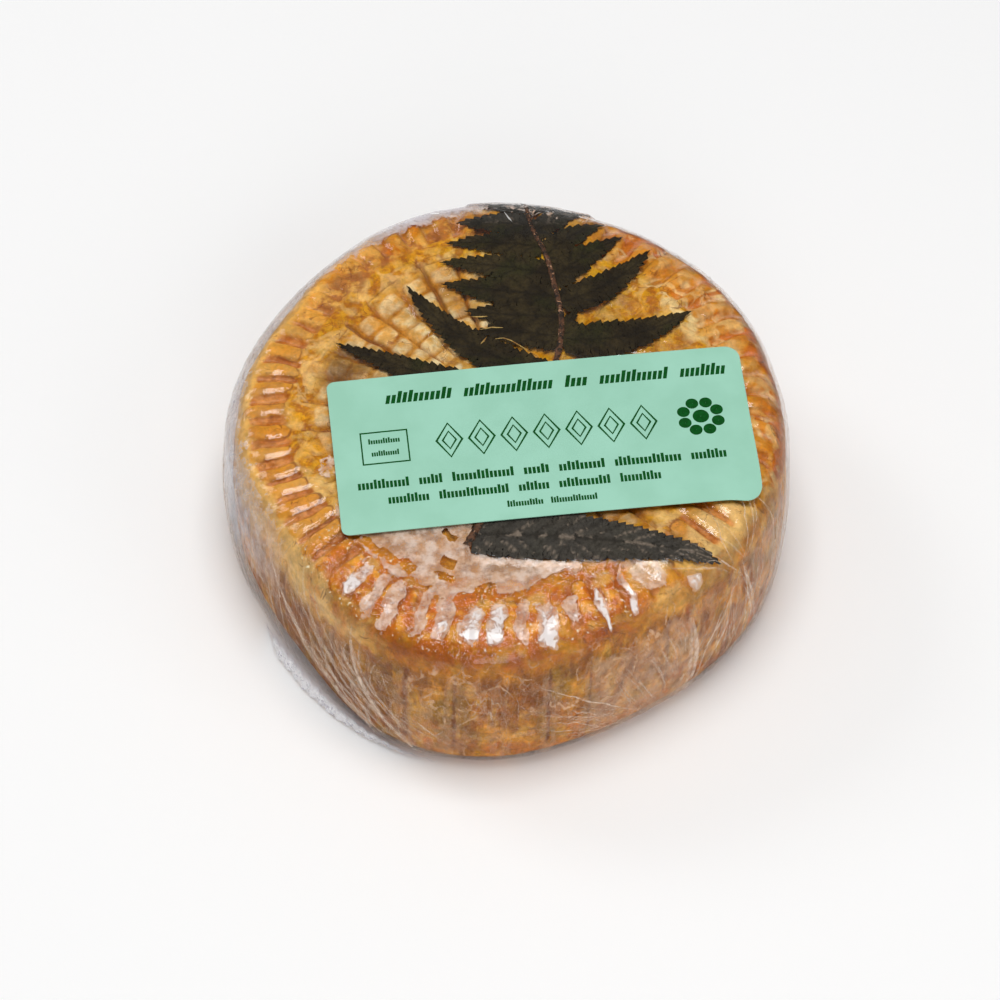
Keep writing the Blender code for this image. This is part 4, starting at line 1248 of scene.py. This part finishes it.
def build_print():
    """Plain strokes in place of lettering, outlined lozenges, and a ring of petals as the badge."""
    ink = []
    ink += words(-29.5, 11.9, 2.9, (13.0, 17.5, 4.5, 13.5, 9.0), 2.3, 0.22)
    ink.append(band([(-35.0, -2.4), (-26.0, -2.4), (-26.0, 5.2), (-35.0, 5.2)], 0.45))
    ink += words(-33.6, 2.4, 1.3, (6.2,), 0.8) + words(-33.2, -0.6, 1.3, (5.4,), 0.8)
    for index in range(7):
        x = -18.0 + 6.3 * index
        for reach, thick in ((1.0, 0.48), (0.52, 0.42)):
            wide, tall = 2.5 * reach, 4.1 * reach
            ink.append(band([(x - wide, 1.6), (x, 1.6 + tall), (x + wide, 1.6), (x, 1.6 - tall)], thick))
    for petal in range(8):
        turn = math.radians(45 * petal + 22.5)
        ink.append(dot(31.0 + 3.5 * math.cos(turn), 1.9 + 3.5 * math.sin(turn), 1.25))
    ink.append(dot(31.0, 1.9, 1.6))
    ink += words(-36.5, -8.4, 2.2, (10.0, 4.6, 12.0, 5.0, 9.0, 13.0, 7.0), 1.8)
    ink += words(-31.0, -12.3, 2.1, (8.0, 13.5, 6.0, 10.0, 8.0), 1.8)
    ink += words(-8.5, -15.8, 1.5, (7.0, 9.0), 1.4)
    return join_grids("label_print", ink, ink_finish())


# Loose film and creases

SKIRT_START, SKIRT_END = math.radians(178.0), math.radians(266.0)
SKIRT_ROWS, SKIRT_COLUMNS = 21, 301
SKIRT_FOLDS, SKIRT_FINE_FOLDS = 11, 31
CREASE_STEPS = 26
CREASE_RISE = 0.1 * MM
CREASE_LIFT = 0.03 * MM
CREASE_ABOVE_FLOOR = 0.05 * MM


def build_skirt():
    """The loose film at the foot, in fine folds."""
    along = np.linspace(0, 1, SKIRT_COLUMNS)[None, :]
    down = np.linspace(0, 1, SKIRT_ROWS)[:, None]
    angle = SKIRT_START + (SKIRT_END - SKIRT_START) * along
    full = soft(along, 0.34, 0.46) * soft(1 - along, 0, 0.5)
    fold = np.cos(2 * math.pi * SKIRT_FOLDS * along + 1.5 * np.sin(7 * along))
    fine = np.cos(2 * math.pi * SKIRT_FINE_FOLDS * along + 4 * np.sin(9 * along) + 3 * down)
    radius = outline(angle) + 0.3 * MM + WALL_BULGE * (1 - down)
    outward = 1.1 * MM * full + 0.2 * MM * (0.5 + 0.5 * fold) - 1.2 * MM * (1 - full)
    radius = radius + outward * down + 0.1 * MM * fine * full
    height = 0.6 * MM + 9.4 * MM * (1 - down) * (0.2 + 0.8 * full)
    height = height - 0.5 * MM * down * (0.5 + 0.5 * fine)
    x = np.cos(angle) * radius + STAND_SHIFT[0]
    y = np.sin(angle) * radius + STAND_SHIFT[1]
    points = np.stack(np.broadcast_arrays(x, y, height), axis=-1)
    shown = soft(down, 0.35, 0.75) * soft(full, 0.0, 0.4)
    return join_grids("loose_film", [{"points": points, "down": shown}], skirt_finish(), ("down",))


def crease(start, end, width, bend, strength, wiggle):
    """A raised fold in the film between two places, each an angle in degrees and a share of the side."""
    share = np.linspace(0, 1, CREASE_STEPS)
    angle = np.radians(start[0] + (end[0] - start[0]) * share)
    angle = angle + math.radians(bend) * np.sin(math.pi * share)
    side = start[1] + (end[1] - start[1]) * share
    side = side + np.cumsum(rng.normal(0, wiggle, CREASE_STEPS)) * np.sin(math.pi * share)
    flat, shoulder, wall, foot, _ = lengths(angle)
    tape = flat + side * (shoulder + wall + foot * 0.6)
    heading = np.gradient(angle) * WHEEL_RADIUS
    falling = np.gradient(tape)
    size = np.hypot(heading, falling)
    taper = width * (0.25 + 0.75 * np.sin(math.pi * np.clip(share, 0.02, 0.98))) / 2
    cross_angle = falling / size * taper / WHEEL_RADIUS
    cross_tape = -heading / size * taper
    rails = []
    for offset, lift in ((-1, 0.0), (-0.3, CREASE_RISE), (0.3, CREASE_RISE), (1, 0.0)):
        at_angle, at_tape = angle + offset * cross_angle, tape + offset * cross_tape
        height, _ = film_height(at_angle, at_tape)
        rail = place(at_angle, at_tape, height + lift + CREASE_LIFT)
        rail[:, 2] = np.maximum(rail[:, 2], CREASE_ABOVE_FLOOR)
        rails.append(rail)
    ends = np.sin(math.pi * np.clip(share, 0.03, 0.97))[:, None] ** 0.4
    profile = np.array([[0.2, 1.0, 1.0, 0.2]]) * strength * ends
    return {"points": np.stack(rails, axis=1), "strength": profile}


# Groups of folds, as arguments of fan: count, the two ends of the first fold and of the last one (each an
# angle in degrees and a share of the side), least and greatest width in millimetres, bow in degrees,
# strength, and what is scattered, how much the folds waver and how much of the way each goes at least
CREASE_GROUPS = (
    # Lower left: long sweeps that draw together at the foot
    (9, ((-150, 0.25), (-112, 1)), ((-114, 0.25), (-99, 0.95)), (0.3, 1), -4, 0.85, (3, 0.1), 0.008),
    (18, ((-152, 0.2), (-112, 1)), ((-112, 0.3), (-99, 0.95)), (0.15, 0.55), -3, 0.75, (4, 0.12), 0.01, 0.3),
    (5, ((-145, 0.45), (-108, 1)), ((-118, 0.45), (-101, 1)), (0.8, 1.6), -3, 0.3, (3, 0.08)),
    (9, ((-126, 0.62), (-114, 0.95)), ((-112, 0.55), (-104, 0.85)), (0.15, 0.5), 2, 0.7, (4, 0.1), 0.012,
     0.5),
    # Right: a fan from one gathered place down to the foot, and its lines up over the shoulder
    (26, ((-37, 0.3), (-56, 1)), ((-34, 0.22), (-22, 1)), (0.12, 0.45), 0, 0.85, (1, 0.06), 0.008, 0.5),
    (9, ((-37, 0.32), (-50, 0.02)), ((-34, 0.24), (-14, -0.08)), (0.12, 0.35), 0, 0.7, (1.5, 0.04)),
    # The flat fold beside it: fine straight lines and one bright edge
    (24, ((-69, 0.4), (-58, 1)), ((-50, 0.34), (-49, 0.55)), (0.1, 0.28), 0, 0.55, (0.5, 0.02), 0.001),
    (3, ((-49.5, 0.36), (-49, 1)), ((-48.5, 0.36), (-48, 1)), (0.6, 1.3), 0.5, 0.8, (0.3, 0.02)),
    # Front: near level lines drawn to the right
    (14, ((-84, 0.42), (-57, 0.95)), ((-78, 0.8), (-62, 1)), (0.12, 0.4), 0, 0.8, (3, 0.05), 0.006, 0.5),
    (10, ((-100, 0.35), (-90, 0.7)), ((-86, 0.3), (-78, 0.6)), (0.1, 0.3), 1, 0.5, (4, 0.1), 0.02, 0.4),
    # Right edge, back and left: mostly upright
    (16, ((-30, 0.15), (-38, 1)), ((-8, 0.12), (-16, 1)), (0.15, 0.45), 1, 0.7, (2, 0.08), 0.01, 0.5),
    (70, ((-5, 0.35), (-9, 0.95)), ((186, 0.25), (190, 0.95)), (0.15, 0.5), 1, 0.7, (6, 0.14), 0.012, 0.4),
    (22, ((176, 0.3), (188, 0.85)), ((212, 0.3), (226, 0.9)), (0.15, 0.45), -2, 0.75, (3, 0.1), 0.012, 0.4),
)
CREASE_WIDTH = 1.7 * MM  # for each millimetre of a group's widths


def fan(count, first, last, width, bend, strength, spread, wiggle=0.004, part=1.0):
    """One group of folds, from the first one's ends to the last one's."""

    def scattered(low, high, at, amount):
        return low + (high - low) * at + rng.normal(0, amount)

    folds = []
    for index in range(count):
        at = (index + 0.6 * rng.random()) / count
        ends = []
        for (angle, side), (last_angle, last_side) in zip(first, last):
            angle = scattered(angle, last_angle, at, spread[0])
            side = scattered(side, last_side, at, spread[1])
            ends.append((angle, min(max(side, -0.1), 1.0)))
        kept = part + (1 - part) * rng.random() ** 2
        begin = (1 - kept) * rng.random()
        ends = [tuple(a + (b - a) * s for a, b in zip(*ends)) for s in (begin, begin + kept)]
        wide = CREASE_WIDTH * (width[0] + (width[1] - width[0]) * rng.random() ** 2)
        bow = rng.normal(bend, 1.2)
        folds.append(crease(*ends, wide, bow, strength * (0.5 + 0.5 * rng.random()), wiggle))
    return folds


def build_creases():
    """The gathered folds of the film."""
    folds = [fold for group in CREASE_GROUPS for fold in fan(*group)]
    return join_grids("film_creases", folds, crease_finish(), ("strength",))


# Studio

CAMERA_ELEVATION = math.radians(52.5)
CAMERA_ROLL = math.radians(1.5)
CAMERA_DISTANCE = 0.9
PIXELS_PER_MM = 5.06
IMAGE_PIXELS = 1000
SENSOR = 36.0
PRINCIPAL = (506.4, 469.1)  # where the wheel's centre is in the picture
FLOOR_HALF = 3.0
LIT_POINT = (0, 0, 0.02)
# How bright the surroundings are by height: 0 is the horizon and all below it, 1 straight above
SKY_LEVELS = ((0.0, 0.8), (0.16, 0.8), (0.36, 0.26), (0.82, 0.26), (1.0, 0.6))


def area_light(name, where, size, watts):
    """A square light turned towards the cheese."""
    data = bpy.data.lights.new(name, "AREA")
    data.shape, data.size, data.energy = "SQUARE", size, watts
    lamp = add_object(name, data)
    lamp.location = where
    lamp.rotation_euler = (Vector(LIT_POINT) - Vector(where)).to_track_quat("-Z", "Y").to_euler()


def build_studio():
    """Floor, surroundings, lights and the camera of the photograph."""
    mesh = bpy.data.meshes.new("floor")
    corners = [(x * FLOOR_HALF, y * FLOOR_HALF, 0) for x, y in ((-1, -1), (1, -1), (1, 1), (-1, 1))]
    mesh.from_pydata(corners, [], [(0, 1, 2, 3)])
    mesh.materials.append(floor_finish())
    add_object("floor", mesh)
    world = bpy.data.worlds.new("studio")
    world.use_nodes = True
    background = world.node_tree.nodes["Background"]
    where = world.node_tree.nodes.new("ShaderNodeTexCoord").outputs["Generated"]
    upward = world.node_tree.nodes.new("ShaderNodeSeparateXYZ")
    sky = world.node_tree.nodes.new("ShaderNodeValToRGB")
    while len(sky.color_ramp.elements) < len(SKY_LEVELS):
        sky.color_ramp.elements.new(0.5)
    for element, (position, level) in zip(sky.color_ramp.elements, SKY_LEVELS):
        element.position = position
        element.color = (level, level, level, 1)
    world.node_tree.links.new(where, upward.inputs[0])
    world.node_tree.links.new(upward.outputs["Z"], sky.inputs["Fac"])
    world.node_tree.links.new(sky.outputs["Color"], background.inputs["Color"])
    background.inputs["Strength"].default_value = 1.0
    scene = bpy.context.scene
    scene.world = world
    area_light("softbox_over", (0.0, 0.0, 0.95), 0.42, 4.15)
    area_light("softbox_left", (-0.75, 0.45, 0.75), 0.35, 1.6)
    area_light("fill_right", (0.8, -0.5, 0.6), 0.6, 1.2)
    area_light("softbox_front", (0.1, -1.0, 0.6), 0.45, 1.8)
    scene.view_settings.view_transform = "Standard"
    data = bpy.data.cameras.new("camera")
    data.sensor_width = SENSOR
    data.lens = SENSOR * PIXELS_PER_MM * CAMERA_DISTANCE / MM / IMAGE_PIXELS
    data.shift_x = (IMAGE_PIXELS / 2 - PRINCIPAL[0]) / IMAGE_PIXELS
    data.shift_y = (PRINCIPAL[1] - IMAGE_PIXELS / 2) / IMAGE_PIXELS
    camera = add_object("camera", data)
    back = Vector((0, -math.cos(CAMERA_ELEVATION), math.sin(CAMERA_ELEVATION)))
    target = Vector((*STAND_SHIFT, WHEEL_HEIGHT / 2))
    turn = (-back).to_track_quat("-Z", "Y").to_matrix().to_4x4() @ Matrix.Rotation(CAMERA_ROLL, 4, "Z")
    camera.matrix_world = Matrix.Translation(target + back * CAMERA_DISTANCE) @ turn
    scene.camera = camera


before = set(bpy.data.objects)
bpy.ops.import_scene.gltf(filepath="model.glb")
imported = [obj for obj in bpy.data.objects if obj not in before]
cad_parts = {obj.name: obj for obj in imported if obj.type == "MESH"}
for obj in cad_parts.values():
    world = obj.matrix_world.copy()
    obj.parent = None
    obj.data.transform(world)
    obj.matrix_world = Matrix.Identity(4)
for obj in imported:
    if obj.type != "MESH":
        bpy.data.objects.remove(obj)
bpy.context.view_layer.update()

cheese = build_cheese()
film = build_film()
leaves = build_fern()
stem = build_stem()
label = build_label()
label_print = build_print()
skirt = build_skirt()
creases = build_creases()
for piece in (cheese, film, leaves, stem, label, label_print, skirt, creases):
    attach(piece, "root")
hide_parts("wrapped_cheese")
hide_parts("fern_frond")
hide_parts("label")
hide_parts("film_skirt")
build_studio()
